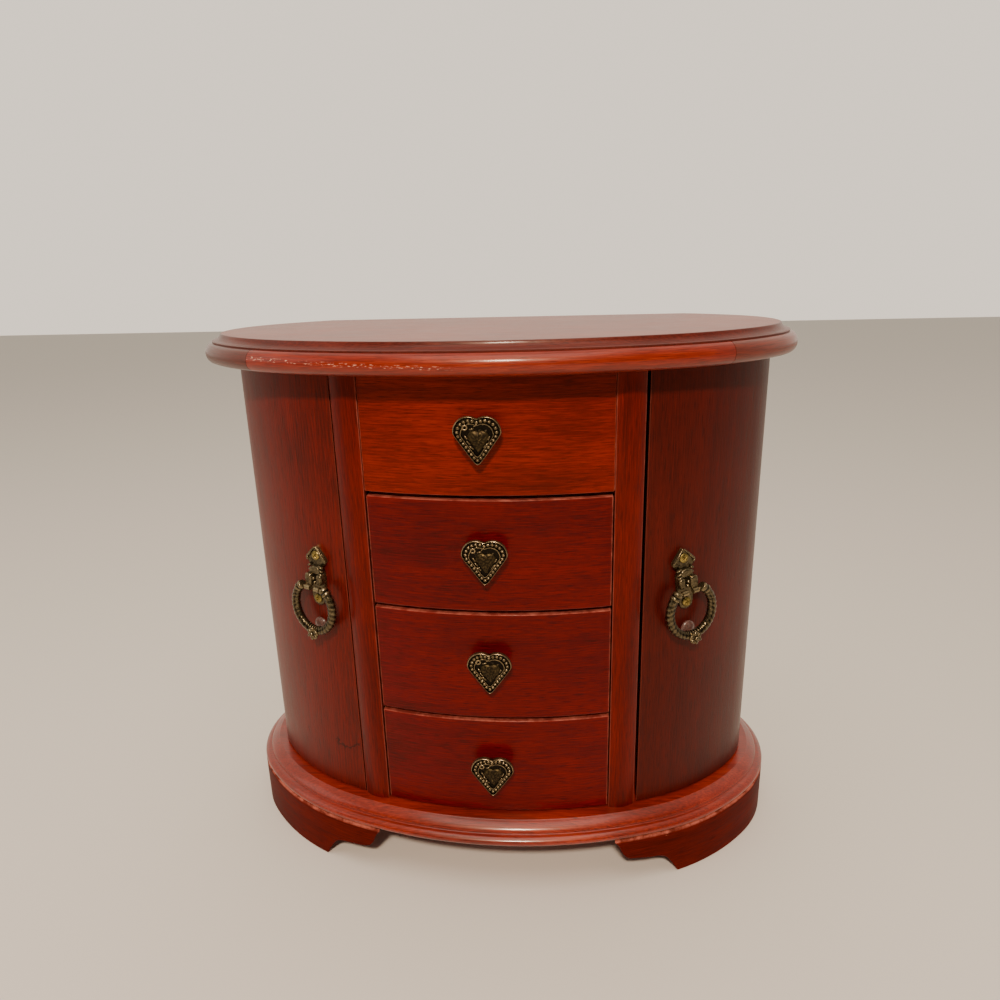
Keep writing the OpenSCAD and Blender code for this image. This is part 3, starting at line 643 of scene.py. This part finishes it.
def foot(side):
    """A bracket foot bent round the end of the oval, its front edge cut to an ogee."""
    outer, inner = FOOT_OUT, FOOT_OUT - 9
    top = FOOT_H
    start, stop = across(65.8), reach(BACK_Y + 1)
    rows, grain, edges = [], [], []
    columns = [k / 110 * 0.45 for k in range(110)] + [0.45 + 0.55 * k / 60 for k in range(61)]
    for t in columns:
        row, veins, limits = [], [], []
        spots = [(inner, 0, 0), (outer - 0.9, 0, 0), (outer - 0.25, 0, 0.3), (outer, 0, 1),
                 (outer, 1, -2.4), (outer - 0.15, 1, -1.5), (outer - 0.6, 1, -0.7), (outer - 1.5, 1, -0.15),
                 (inner, 1, -0.15)]
        for off, high, lift in spots:
            direction = start(off) + (stop(off) - start(off)) * t
            x, y = oval(direction, off)
            low = min(foot_rise(x), top - 0.4)
            fit = min(1, (top - low) / 3.4)
            z = (top if high else low) + lift * fit
            row.append((side * x, y, z))
            veins.append((side * along(direction), z, off))
            limits.append((50, 50, 50, 0.3 * (top - z)) if high else (50, 50, z - low + 0.4, 50))
        rows.append(row)
        grain.append(veins)
        edges.append(limits)
    name = SIDES[side]
    piece = Piece(f"bracket_foot_{name}", FOOT_WOOD).loft(rows, grain, edges)
    piece.make("case", "cherry_lacquer", [f"foot_{name}"], sharp=35)


def mirrored(test):
    """The same limit on the left side."""
    return lambda off: -test(off)


def between(side, start, stop):
    """The two ends of a right-hand sweep, turned round for the left side."""
    return (start, stop) if side > 0 else (mirrored(start), mirrored(stop))


def rear_post(side):
    name = SIDES[side]
    start, stop = between(side, lambda off: SEAM_DIR + SEAM_HALF, reach(BACK_Y - 6))
    piece = board(f"rear_corner_post_{name}", POST_WOOD, start, stop, (-POST_T, 0), (LEDGE_Z, CASE_TOP), 14, True)
    piece.make("case", "cherry_lacquer", [f"rear_post_{name}"], soften=0.5)


def pillar(side):
    """A half-round pillar with a flat back, its grain upright."""
    name = SIDES[side]
    nose_r = 16
    middle = BAY_HALF + PILLAR_W / 2
    nose = oval(math.degrees(math.asin(middle / FRONT_R)), 1.4 - nose_r)
    arc = []
    for k in range(25):
        x = BAY_HALF + PILLAR_W * (1 - math.cos(math.pi * k / 24)) / 2
        arc.append((x, nose[1] - math.sqrt(nose_r ** 2 - (x - nose[0]) ** 2)))
    outline = arc + [(BAY_HALF + PILLAR_W, PILLAR_BACK), (BAY_HALF, PILLAR_BACK)]
    run = list(range(len(arc))) + [35, -10]
    rows, grain, edges = [], [], []
    for z in (LEDGE_Z, CASE_TOP):
        rows.append([(side * x, y, z) for x, y in outline])
        grain.append([(z, side * (x + run[i] * 0.1), y) for i, (x, y) in enumerate(outline)])
        edges.append([(x - BAY_HALF, BAY_HALF + PILLAR_W - x, 50, 50) for x, y in outline])
    piece = Piece(f"half_round_pillar_{name}", PILLAR_WOOD).loft(rows, grain, edges)
    piece.make("case", "cherry_lacquer", [f"pillar_{name}"], soften=0.3)


def front_low(i):
    return LEDGE_Z + 0.7 + sum(FRONT_H[:i]) + i * FRONT_GAP


def front_heights(i):
    return front_low(i), (front_low(i) + FRONT_H[i] if i < 3 else CASE_TOP)


def bow_front(i):
    half = BAY_HALF - (0.6 if i < 3 else 0)
    wood = FRONT_WOOD[i] if i < 3 else FALSE_WOOD
    name = (DRAWERS + ["false"])[i]
    piece = board(f"{name}_bow_front", wood, across(-half), across(half), (-FRONT_SET - FRONT_T, -FRONT_SET),
                  front_heights(i), 28)
    piece.make(name if i < 3 else "case", "cherry_lacquer", [f"{name}_front"], soften=0.7)


# ---- lid


def lid():
    z = TOTAL_H - LID_TOP_T
    edge = [(LID_OUT - 4.3, z), (LID_OUT - 4.2, z + 0.9)]
    edge += curve([(LID_OUT - 4.9, z + 1.2), (LID_OUT - 6.7, z + 1.7), (LID_OUT - 8.1, z + 2.9),
                   (LID_OUT - 8.7, z + 4.1)], 5)
    edge += [(LID_OUT - 9.0, z + 4.55), (LID_OUT - 9.6, TOTAL_H)]
    top = moulded("lid_coved_top", COVE_WOOD_AND_REFLECTION, edge, LID_BACK, shift=LID_SHIFT, narrow=SQUEEZE)
    # The flat of the board is the last face, and has the lighter, duller finish: its lighter colour is painted glare
    # from above, and the cove's darker purple-brown is painted reflection.
    top.materials += (LID_WOOD_AND_GLARE,)
    top.finish_of[-1] = 1
    top.make("lid", "cherry_lacquer", ["lid_top"], sharp=35)
    round_edge = curve([(LID_OUT - 4.8, RIM_Z), (LID_OUT - 2.2, RIM_Z + 0.8), (LID_OUT - 0.5, RIM_Z + 2.7),
                        (LID_OUT, RIM_Z + 5.1), (LID_OUT - 0.4, RIM_Z + 7.4), (LID_OUT - 1.8, RIM_Z + 9.5),
                        (LID_OUT - 3.6, RIM_Z + RIM_T)], 4)
    section = [(-8, RIM_Z)] + round_edge + [(-8, RIM_Z + RIM_T)]
    join = 0.06
    Piece("lid_bullnose_front", RIM_WOOD).loft(**sweep(
        section, lambda off: -RIM_JOINT[-1] + join, lambda off: RIM_JOINT[1] - join, 70,
        shift=LID_SHIFT, narrow=SQUEEZE)).make(
        "lid", "cherry_lacquer", ["lid_rim_front"])
    for side, name in SIDES.items():
        start, stop = between(side, lambda off: RIM_JOINT[side] + join, reach(LID_BACK))
        Piece(f"lid_bullnose_{name}", RIM_END_WOOD_AND_SHADE[side]).loft(**sweep(
            section, start, stop, 90, shift=LID_SHIFT, narrow=SQUEEZE)).make(
            "lid", "cherry_lacquer", [f"lid_rim_{name}"])


# ---- doors


def door(side):
    name = SIDES[side]
    start, stop = between(side, across(DOOR_EDGE[side]), lambda off: SEAM_DIR - SEAM_HALF)
    wood = DOOR_WOOD if side < 0 else DOOR_WOOD_2
    piece = board(f"curved_door_{name}", wood, start, stop, (-DOOR_T, 0), (DOOR_LOW, DOOR_HIGH), 90, True)
    piece.make(f"{name}_door", "cherry_lacquer", [f"door_{name}"], soften=0.5)


def hooks(side):
    """Five brass cup hooks inside a door, each a bent wire on a small round foot."""
    name = SIDES[side]
    piece = Piece(f"necklace_hooks_{name}", HINGE_BRASS)
    for direction in range(48, 101, 13):
        x, y = oval(direction, -DOOR_T - 0.02)
        turn = math.radians(direction)
        inward, sideways = Vector((-math.sin(turn), math.cos(turn), 0)), Vector((math.cos(turn), math.sin(turn), 0))
        foot_at = Vector((x, y, HOOK_Z))
        wire = [foot_at + inward * d for d in (0.1, 1.5, 3, 4.2)]
        wire += [
            foot_at + inward * (5 + 3 * math.sin(a)) + Vector((0, 0, 3 * math.cos(a) - 3))
            for a in (math.radians(12 * k) for k in range(16))
        ]
        piece.loft(flipped(tube(wire, lambda t: 0.8 if t < 0.93 else 0.62, 10), side))
        dish = [(2.6, 0.02), (2.6, 0.4), (2.1, 0.8), (1.3, 1.0), (0.3, 1.05)]
        piece.loft(flipped([
            [foot_at + inward * out + sideways * a + Vector((0, 0, b)) for a, b in circle(radius, 20)]
            for radius, out in dish
        ], side))
    piece.make(f"{name}_door", "bright_brass", [f"door_{name}_hooks"])


def pouch(side):
    """A cloth pocket gathered on elastic at its mouth, low on the inner face of a door."""
    name = SIDES[side]
    low, high, first, last, steps = 53, 113, 54, 100, 120
    rows = []
    for k in range(steps + 1):
        t = k / steps
        direction = first + (last - first) * t
        edge = min(1, 5 * t, 5 * (1 - t)) ** 0.5
        gather = math.sin(2 * math.pi * 19 * t + 1.3 * math.sin(9 * t)) * 0.5 + 0.5 * math.sin(61 * t)
        row = [(-DOOR_T - 0.5, low + 1), (-DOOR_T - 0.5, high)]
        for j in range(15):
            h = 1 - j / 14
            z = low + (high - low) * h
            belly = math.sin(math.pi * min(1, 1.12 * (1 - h) + 0.10)) ** 0.7 if h < 0.92 else 0.42
            ruffle = (0.75 if h > 0.8 else 0.45 * max(0, h - 0.15)) * gather
            row.append((-DOOR_T - 1.1 - edge * (5.0 * max(0.12, belly) + ruffle), z))
        rows.append([(*oval(direction, off), z) for off, z in row])
    piece = Piece(f"gathered_pouch_{name}", POUCH_CLOTH).loft(flipped(rows, side))
    made = piece.make(f"{name}_door", "wine_velvet", [f"door_{name}_pouch"], sharp=80)


# ---- knobs

HEART_R = 7.35
HEART_LOBE = 4.2
HEART_RISE = 3.7
HEART_TIP = -13.6
HEART_MIDDLE = (0, -0.4)
HEART_HALF = HEART_R + HEART_LOBE


def heart_line(count):
    """Evenly spaced points round the heart, from the notch down the right side and back up the left."""
    far = math.hypot(HEART_LOBE, HEART_RISE - HEART_TIP)
    low = math.atan2(HEART_RISE - HEART_TIP, HEART_LOBE) - math.acos(HEART_R / far)
    notch = math.acos(-HEART_LOBE / HEART_R)
    half = []
    for k in range(41):
        turn = notch + (-low - notch) * k / 40
        half.append(Vector((HEART_LOBE + HEART_R * math.cos(turn), HEART_RISE + HEART_R * math.sin(turn))))
    end, tip = half[-1], Vector((0, HEART_TIP))
    half += [end.lerp(tip, k / 12) for k in range(1, 13)]
    line = half + [Vector((-p.x, p.y)) for p in reversed(half[1:-1])]
    for _ in range(3):
        line = [(line[i - 1] + 2 * line[i] + line[(i + 1) % len(line)]) / 4 for i in range(len(line))]
    lengths = [0]
    for a, b in zip(line, line[1:] + line[:1]):
        lengths.append(lengths[-1] + (b - a).length)
    points, k = [], 0
    for i in range(count):
        want = lengths[-1] * i / count
        while lengths[k + 1] < want:
            k += 1
        t = (want - lengths[k]) / (lengths[k + 1] - lengths[k])
        points.append(line[k].lerp(line[(k + 1) % len(line)], t))
    return points


def heart(inset, count=96, middle=HEART_MIDDLE):
    """The heart drawn in by an inset, about its middle."""
    scale = 1 - inset / HEART_HALF
    return [
        (middle[0] + p.x * scale, middle[1] + (p.y - HEART_MIDDLE[1]) * scale) for p in heart_line(count)
    ]


def upright(points, out):
    """Points of the front's plane, given as x and z, standing out from it."""
    return [(x, -out, z) for x, z in points]


def heart_knob(i):
    """A cast heart with a beaded border, a raised inner line and a hammered cushion, on a turned stem."""
    name = (DRAWERS + ["false_front"])[i]
    piece = Piece(f"{name}_heart_knob", HEART_BRASS, HEART_RUB)
    relief = [(1.8, 4.8), (0.6, 4.8), (0.15, 5.1), (0, 5.8), (0.05, 6.9), (0.2, 7.3), (0.4, 7.4), (0.6, 7.25),
              (0.85, 6.3), (1.05, 6.05), (3.3, 6.0), (3.5, 6.5), (3.7, 6.9), (3.9, 6.9), (4.15, 6.5),
              (4.35, 6.05), (5.2, 5.95), (8, 5.95), (10.9, 5.95)]
    piece.loft([upright(heart(inset), out) for inset, out in relief])
    for x, z in heart(2.15, 28):
        piece.loft(ball((x, -6.4, z), (0.9, 0.95, 0.9), count=14, rings=8))
    cushion = []
    for k in range(15):
        size = math.cos(math.pi / 2 * k / 14.6)
        lift = math.sin(math.pi / 2 * k / 14.6)
        loop = []
        for x, z in heart(HEART_HALF * (1 - 0.44 * size), 72, (0.5, -0.9)):
            dent = noise.noise(Vector((x * 1.1, z * 1.1, i))) * 0.28 * lift
            loop.append((x, -6.0 - 1.5 * lift ** 0.8 - dent, z))
        cushion.append(loop)
    piece.loft(cushion, material=1)
    leaves = [(-5.2, 0.9, 1.25, -52), (-4.1, -1.6, 1.3, -45), (-2.7, -3.9, 1.4, -42), (5.5, 0.5, 1.2, 62),
              (4.0, -2.9, 1.7, 48), (-0.7, 6.6, 1.3, 40), (-2.5, 4.9, 1.2, 10), (-3.9, 7.3, 1.0, 30)]
    for x, z, size, turn in leaves:
        piece.loft(ball((x, -6.3, z), (size, 0.75, 0.48), turn, 12, 7))
    eyelet = [
        [(-5.6 + (1.05 + u) * math.cos(a), -6.9 - v, 5.7 + (1.05 + u) * math.sin(a)) for u, v in circle(0.42, 8)]
        for a in turns(16)
    ]
    piece.loft(eyelet, ring=True)
    stem = [(4, 0.05), (4, 0.9), (3.2, 1.6), (2.9, 3), (3.4, 4.2), (4.4, 5)]
    piece.loft([upright(circle(radius, 40), out) for radius, out in stem])
    low, high = front_heights(i)
    move = Matrix.Translation((KNOB_X[i], -HALF_D + FRONT_SET, (low + high) / 2 + KNOB_RISE[i]))
    piece.make(name if i < 3 else "case", "antique_brass", [f"{name}_knob"], move=move, sharp=50)


# ---- pulls


def pull_frame(side):
    """Frame of a pull: its origin on the door behind the ring's pivot, -y outwards, z up."""
    x, y = oval(PULL_DIR[side], 0)
    move = Matrix.Translation((x, y, PIVOT_Z)) @ Matrix.Rotation(math.radians(PULL_DIR[side]), 4, "Z")
    move = move @ Matrix.Rotation(math.radians(-PULL_LEAN[side]), 4, "Y")
    return Matrix.Diagonal((side, 1, 1, 1)) @ move


def slab(outline, low, high, rim=0.5):
    """Loops of a flat casting with a rounded front edge."""
    middle = [sum(values) / len(outline) for values in zip(*outline)]
    rows = [upright(outline, low), upright(outline, high - rim)]
    for k in (1, 2, 3):
        turn = math.pi / 2 * k / 3
        loop = shrunk(outline, middle, rim * (1 - math.cos(turn)), 0.1)
        rows.append(upright(loop, high - rim + rim * math.sin(turn)))
    return rows


def pull_plate(side):
    """The cast plate: a gabled head, a scrolled waist, two knuckle blocks and a round foot."""
    name = SIDES[side]
    piece = Piece(f"pull_plate_{name}", PULL_BRASS)
    half = curve([(0, 22.9), (2.9, 20.1), (6.3, 15.9), (5.6, 13.6), (4.1, 12), (3.9, 9.6), (4.7, 7.4), (4.8, 3),
                  (4.6, -3.5), (4.2, -7.4), (3, -10.4), (0, -11.6)], 4)
    outline = half + [(-x, z) for x, z in reversed(half[1:-1])]
    piece.loft(slab(outline, 0.05, 1.9, 0.6))
    for end in (-1, 1):
        bar = [(end * 6.2, -2.0, 15.0), (end * 5.9, -2.3, 16.3), (end * 4.2, -2.5, 18.1), (end * 2.9, -2.5, 19.9),
               (end * 0.3, -2.3, 22.7)]
        piece.loft(tube(curve(bar, 5), lambda t: 0.42 + 0.32 * math.sin(math.pi * min(1, t * 1.1)), 12))
        piece.loft(ball((end * 6.0, -2.0, 14.9), (0.8, 0.8, 0.8), 0))
    piece.loft(slab(circle(3.9, 28, 0.66, (0.4, 9.4)), 1.2, 3.9, 1.2))
    for k, z in enumerate((12.1, 9.9, 7.9)):
        piece.loft(ball((-3.9 + 0.25 * k, -3.1, z), (1.75, 1.3, 0.78), 20))
        piece.loft(ball((4.1 - 0.2 * k, -2.7, z - 0.3), (1.1, 1.0, 0.8), -25))
    blocks = [(-3.2, 4.6, 1.9, 3.0, 5.2), (3.4, 4.2, 2.4, 3.8, 5.9)]
    for x, z, wide, tall, out in blocks:
        outline = [
            (x + wide * math.copysign(abs(math.cos(a)) ** 0.55, math.cos(a)),
             z + tall * math.copysign(abs(math.sin(a)) ** 0.6, math.sin(a)))
            for a in turns(32)
        ]
        piece.loft(slab(outline, 1.4, out, 1.3))
    piece.loft(ball((0.1, -4.6, 5.4), (0.95, 1.1, 1.0)))
    piece.loft(ball((0.1, -3.9, 2.6), (1.1, 1.1, 1.2)))
    for x in (-3.2, 3.2):
        rows = [[(x + dx, -PIVOT_OUT + r * a, r * b) for a, b in circle(1, 20)]
                for dx, r in ((-1.8, 1.2), (-1.6, 1.5), (1.6, 1.5), (1.8, 1.2))]
        piece.loft(rows)
    piece.make(f"{name}_door", "antique_brass", [f"door_{name}_pull_plate"], move=pull_frame(side), sharp=55)


def pull_screws(side):
    """Two brass screws with a cross recess, one in the plate's head and one in its foot."""
    name = SIDES[side]
    piece = Piece(f"pull_screws_{name}", SCREW_BRASS)
    profile = [(2.2, 1.9), (2.62, 2.0), (2.66, 2.3), (2.45, 2.75)]
    profile += [(2.2 - 0.2 * k, 2.85 + 0.35 * (1 - ((2.2 - 0.2 * k) / 2.2) ** 2)) for k in range(11)]
    for middle, spin in ((17.8, 38), (-7.4, 12)):
        rows = []
        for radius, out in profile:
            loop = []
            for x, z in circle(radius, 56):
                turn = math.radians(spin)
                u, v = x * math.cos(turn) + z * math.sin(turn), z * math.cos(turn) - x * math.sin(turn)
                arm = min(max(abs(u) - 0.38, abs(v) - 1.55), max(abs(v) - 0.38, abs(u) - 1.55))
                loop.append((x, -out + 0.85 * max(0, min(1, -arm / 0.25)), middle + z))
            rows.append(loop)
        piece.loft(rows)
    piece.make(f"{name}_door", "bright_brass", [f"door_{name}_pull_screws"], move=pull_frame(side), sharp=70)


def bumper(side):
    """The clear dot that the ring's lower end rests against."""
    name = SIDES[side]
    piece = Piece(f"clear_bumper_{name}", RESIN)
    rows = []
    for radius, out in [(4.1, 0.1), (4.25, 0.35)] + [
            (4.25 * math.cos(a), 0.4 + 2.0 * math.sin(a)) for a in (math.radians(9 * k) for k in range(1, 10))]:
        rows.append([(0.8 + x, -out, -24.1 + z) for x, z in circle(radius, 40)])
    piece.loft(rows)
    piece.make(f"{name}_door", "clear_bumper", [f"door_{name}_bumper"], move=pull_frame(side))


def drop_ring(side):
    """The drop ring: leafy rope outside, a smooth bright rim inside, stepped ends on pins, a rosette below."""
    name = SIDES[side]
    piece = Piece(f"drop_ring_{name}", PULL_BRASS)
    opening = math.degrees(math.asin(RING_END / RING_R))
    drop = math.sqrt(RING_R ** 2 - RING_END ** 2)
    first, last, steps, count = opening + 7, 360 - opening - 7, 150, 20
    rows = []
    for k in range(steps + 1):
        turn = math.radians(first + (last - first) * k / steps)
        out_dir = Vector((math.sin(turn), 0, math.cos(turn)))
        middle = Vector((out_dir.x * RING_R, -PIVOT_OUT, RING_TALL * (out_dir.z * RING_R - drop)))
        fade = min(1, k / 6, (steps - k) / 6)
        loop = []
        for j in range(count):
            a = 2 * math.pi * j / count
            outer = max(0, math.cos(a))
            front = max(0, math.sin(a))
            rope = math.sin(turn * 34 + (2.2 if turn < math.pi else -2.2) * a)
            ridge = 0.35 * max(0, -math.cos(a)) ** 2 * (math.sin(turn * 46) if abs(turn - math.pi) < 0.42 else 0)
            groove = -0.28 * math.exp(-((a - 1.9) / 0.22) ** 2)
            size = RING_BAR * 0.93 + fade * (0.15 * rope * max(outer, 0.7 * front) + ridge) + groove
            loop.append(tuple(middle + out_dir * size * math.cos(a) + Vector((0, -size * math.sin(a), 0))))
        rows.append(loop)
    piece.loft(rows)
    for s in (-1, 1):
        end = math.radians(opening + 3)
        along_end = Vector((s * math.cos(end), 0, -math.sin(end)))
        centre = Vector((s * math.sin(end) * RING_R, -PIVOT_OUT, -drop + math.cos(end) * RING_R))
        side_dir = Vector((s * math.sin(end), 0, math.cos(end)))
        steps_out = [(-2.6, 1.9), (-2.2, 2.5), (-1.2, 2.75), (-0.4, 2.5), (0.1, 2.2), (0.5, 2.55), (1.5, 2.7),
                     (2.1, 2.3)]
        piece.loft([
            [tuple(centre + along_end * d + side_dir * r * a + Vector((0, -r * b, 0))) for a, b in circle(1, 24)]
            for d, r in steps_out
        ])
        piece.loft([[(s * x, -PIVOT_OUT + 0.9 * a, 0.9 * b) for a, b in circle(1, 14)] for x in (1.7, 8)])
    low = -RING_TALL * (drop + RING_R) - 1
    for k in range(6):
        a = math.radians(60 * k + 30)
        piece.loft(ball((2.35 * math.cos(a), -PIVOT_OUT - 2.6, low + 2.35 * math.sin(a)), (1.45, 0.95, 1.1),
                        math.degrees(a), 12, 7))
    piece.loft([upright(circle(r, 32, 1, (0, low)), PIVOT_OUT + out)
                for r, out in ((2.4, 1.0), (3.3, 1.6), (3.4, 2.3), (2.6, 2.8))])
    piece.loft(ball((0, -PIVOT_OUT - 3.4, low), (1.15, 0.9, 1.15)))
    piece.make(f"{name}_ring", "antique_brass", [f"ring_{name}"], move=pull_frame(side), sharp=60)


# ---- velvet


def lining(name, body, half, inset, low, back, nodes):
    """A velvet-covered card pad with soft rounded edges that fits behind a bow front."""
    outline = []
    for k in range(33):
        direction = across(half)(-inset) * (k / 16 - 1)
        outline.append(oval(direction, -inset))
    outline += [(half, outline[-1][1] * 0.5), (half, back), (0, back), (-half, back), (-half, outline[0][1] * 0.5)]
    middle = (0, (back + outline[16][1]) / 2)
    rows = []
    for inset_mm, z in ((0.6, 0.02), (0.1, 0.3), (0, 0.7), (0.4, 1.15), (1.2, 1.4), (4, 1.6), (14, 1.5), (30, 1.45)):
        loop = []
        for spot in shrunk(outline, middle, inset_mm, 0.02):
            ripple = 0.12 * noise.noise(Vector((spot.x / 9, spot.y / 9, low))) if inset_mm > 1 else 0
            loop.append((spot.x, spot.y, low + z + ripple))
        rows.append(loop)
    made = Piece(name, VELVET).loft(rows).make(body, "wine_velvet", nodes, sharp=70)


def tray():
    low = front_low(3)
    lining("tray_velvet_lining", "case", BAY_HALF - 0.5, 11.7, low, BACK_Y - 6.5, ["tray_lining"])
    roll_r, pitch, count = 5.2, 10.6, 5
    roll_back = BACK_Y - 6 - 1.2 - roll_r
    divider_y = roll_back - (count - 1) * pitch - roll_r - 3.4
    half = BAY_HALF - 0.5
    outline = [(y, z) for y, z in [(0.3, 1.7), (0, 4)] + [
        (1.3 - 1.3 * math.cos(a), 25.9 + 1.3 * math.sin(a)) for a in (math.radians(20 * k) for k in range(10))
    ] + [(2.6, 4), (2.3, 1.7)]]
    rows = []
    for k in range(41):
        x = -half + 2 * half * k / 40
        rows.append([(x, divider_y + y, low + z + 0.15 * noise.noise(Vector((x / 8, z / 8, 3)))) for y, z in outline])
    made = Piece("velvet_divider", VELVET).loft(rows).make("case", "wine_velvet", ["tray_divider"], sharp=60)
    piece = Piece("ring_roll_pads", VELVET)
    length = 2 * BAY_HALF - 3.2
    for k in range(count):
        y = roll_back - k * pitch
        rows = []
        for j in range(61):
            t = j / 60
            tuck = min(1, 14 * t + 0.35, 14 * (1 - t) + 0.35) ** 0.5
            loop = []
            for a in turns(28):
                crease = 0.16 * noise.noise(Vector((t * 18, math.cos(a) * 2 + k * 9, math.sin(a) * 2)))
                r = (roll_r - 0.25 + crease) * tuck
                flat = max(math.sin(a) * r, -roll_r + 0.7)
                loop.append((-length / 2 + length * t, y + math.cos(a) * r * 0.985, low + 1.6 + roll_r + flat))
            rows.append(loop)
        piece.loft(rows)
    made = piece.make("case", "wine_velvet", ["ring_rolls"], sharp=80)


# ---- CAD nodes that keep their shape


def finish_cad_nodes():
    """Gives every node that stays as it is the finish of the real piece."""
    finishes = {
        "back_panel": INNER_WOOD["x"], "partition_left": INNER_WOOD["z"], "partition_right": INNER_WOOD["z"],
        "tray_floor": INNER_WOOD["x"], "drawer_dividers": INNER_WOOD["x"], "bay_tops": INNER_WOOD["x"],
        "lid_rim_back": RIM_BACK_WOOD, "lid_mirror": MIRROR, "door_catches": CATCH, "false_front_knob_screw": ZINC,
    }
    for drawer in DRAWERS:
        finishes |= {f"{drawer}_box": INNER_WOOD["y"], f"{drawer}_knob_screw": ZINC}
    leaves = ["hinge_case_leaves", "lid_hinge_lid_leaves", "door_left_hinge_leaves", "door_right_hinge_leaves"]
    finishes |= dict.fromkeys(leaves + ["hinge_pins"], HINGE_BRASS)
    for node, surface in finishes.items():
        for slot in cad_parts[node].material_slots:
            slot.material = surface


base_board()
for side in (-1, 1):
    foot(side)
    rear_post(side)
    pillar(side)
    door(side)
    hooks(side)
    pouch(side)
    pull_plate(side)
    pull_screws(side)
    bumper(side)
    drop_ring(side)
for i in range(4):
    bow_front(i)
    heart_knob(i)
for i, drawer in enumerate(DRAWERS):
    box_low = LEDGE_Z + 0.4 if i == 0 else front_low(i) + 1.4
    lining(drawer.replace("drawer", "velvet_lining"), drawer, PAD_HALF, PAD_FRONT, box_low + BOX_FLOOR, PAD_BACK,
           [f"{drawer}_lining"])
lid()
tray()
finish_cad_nodes()

# ---- stage, light and camera


def stage():
    """A plain pale floor."""
    made = material("pale matt paper", roughness=0.8, base_color="#d9d4cc")[0]
    mesh = bpy.data.meshes.new("floor")
    mesh.from_pydata([(-4, -4, 0), (4, -4, 0), (4, 4, 0), (-4, 4, 0)], [], [(0, 1, 2, 3)])
    mesh.materials.append(made)
    floor = bpy.data.objects.new("floor", mesh)
    bpy.context.scene.collection.objects.link(floor)


def lamp(name, where, aim, size, power, colour):
    """A soft rectangular lamp, its power in watts."""
    light = bpy.data.lights.new(name, "AREA")
    light.shape = "RECTANGLE"
    light.size, light.size_y = size
    light.energy = power
    light.color = lin(colour)[:3]
    lamp_object = bpy.data.objects.new(name, light)
    lamp_object.location = where
    lamp_object.rotation_euler = (Vector(aim) - Vector(where)).to_track_quat("-Z", "Y").to_euler()
    bpy.context.scene.collection.objects.link(lamp_object)


def camera():
    """The view: a little above the case and a little to its right."""
    yaw, pitch, roll = (math.radians(a) for a in (5.75, 17.43, -1.53))
    data = bpy.data.cameras.new("camera")
    data.lens = 26.77
    data.sensor_width = 36
    data.clip_start = 0.01
    view = bpy.data.objects.new("camera", data)
    turn = Matrix.Rotation(yaw, 4, "Z") @ Matrix.Rotation(math.pi / 2 - pitch, 4, "X") @ Matrix.Rotation(roll, 4, "Z")
    view.matrix_world = Matrix.Translation(place((41.33, -426.44, 330.97))) @ turn
    bpy.context.scene.collection.objects.link(view)
    bpy.context.scene.camera = view


def room():
    """Soft light that is stronger from behind the case than from the front, as from a pale wall."""
    made = bpy.data.worlds.new("soft room")
    made.use_nodes = True
    tree = made.node_tree
    background = tree.nodes["Background"]
    background.inputs["Color"].default_value = lin("#f2e4d2")
    facing = add(tree, "SeparateXYZ", {0: add(tree, "TexCoord").outputs["Generated"]})
    amount = spread(tree, facing.outputs[1], -0.6, 0.7, 0.10, 1.45)
    tree.links.new(amount, background.inputs["Strength"])
    bpy.context.scene.world = made


stage()
camera()
room()
lamp("key", (0.02, -1.12, 1.14), (0, 0, 0.15), (0.15, 0.10), 23, "#ffe6cc")
lamp("ceiling", (0, -0.5, 1.9), (0, 0, 0.2), (1.4, 1.0), 12, "#fff0e4")
lamp("side fill", (-1.6, -0.5, 0.9), (0, 0, 0.15), (1.0, 1.2), 4, "#fff4ea")
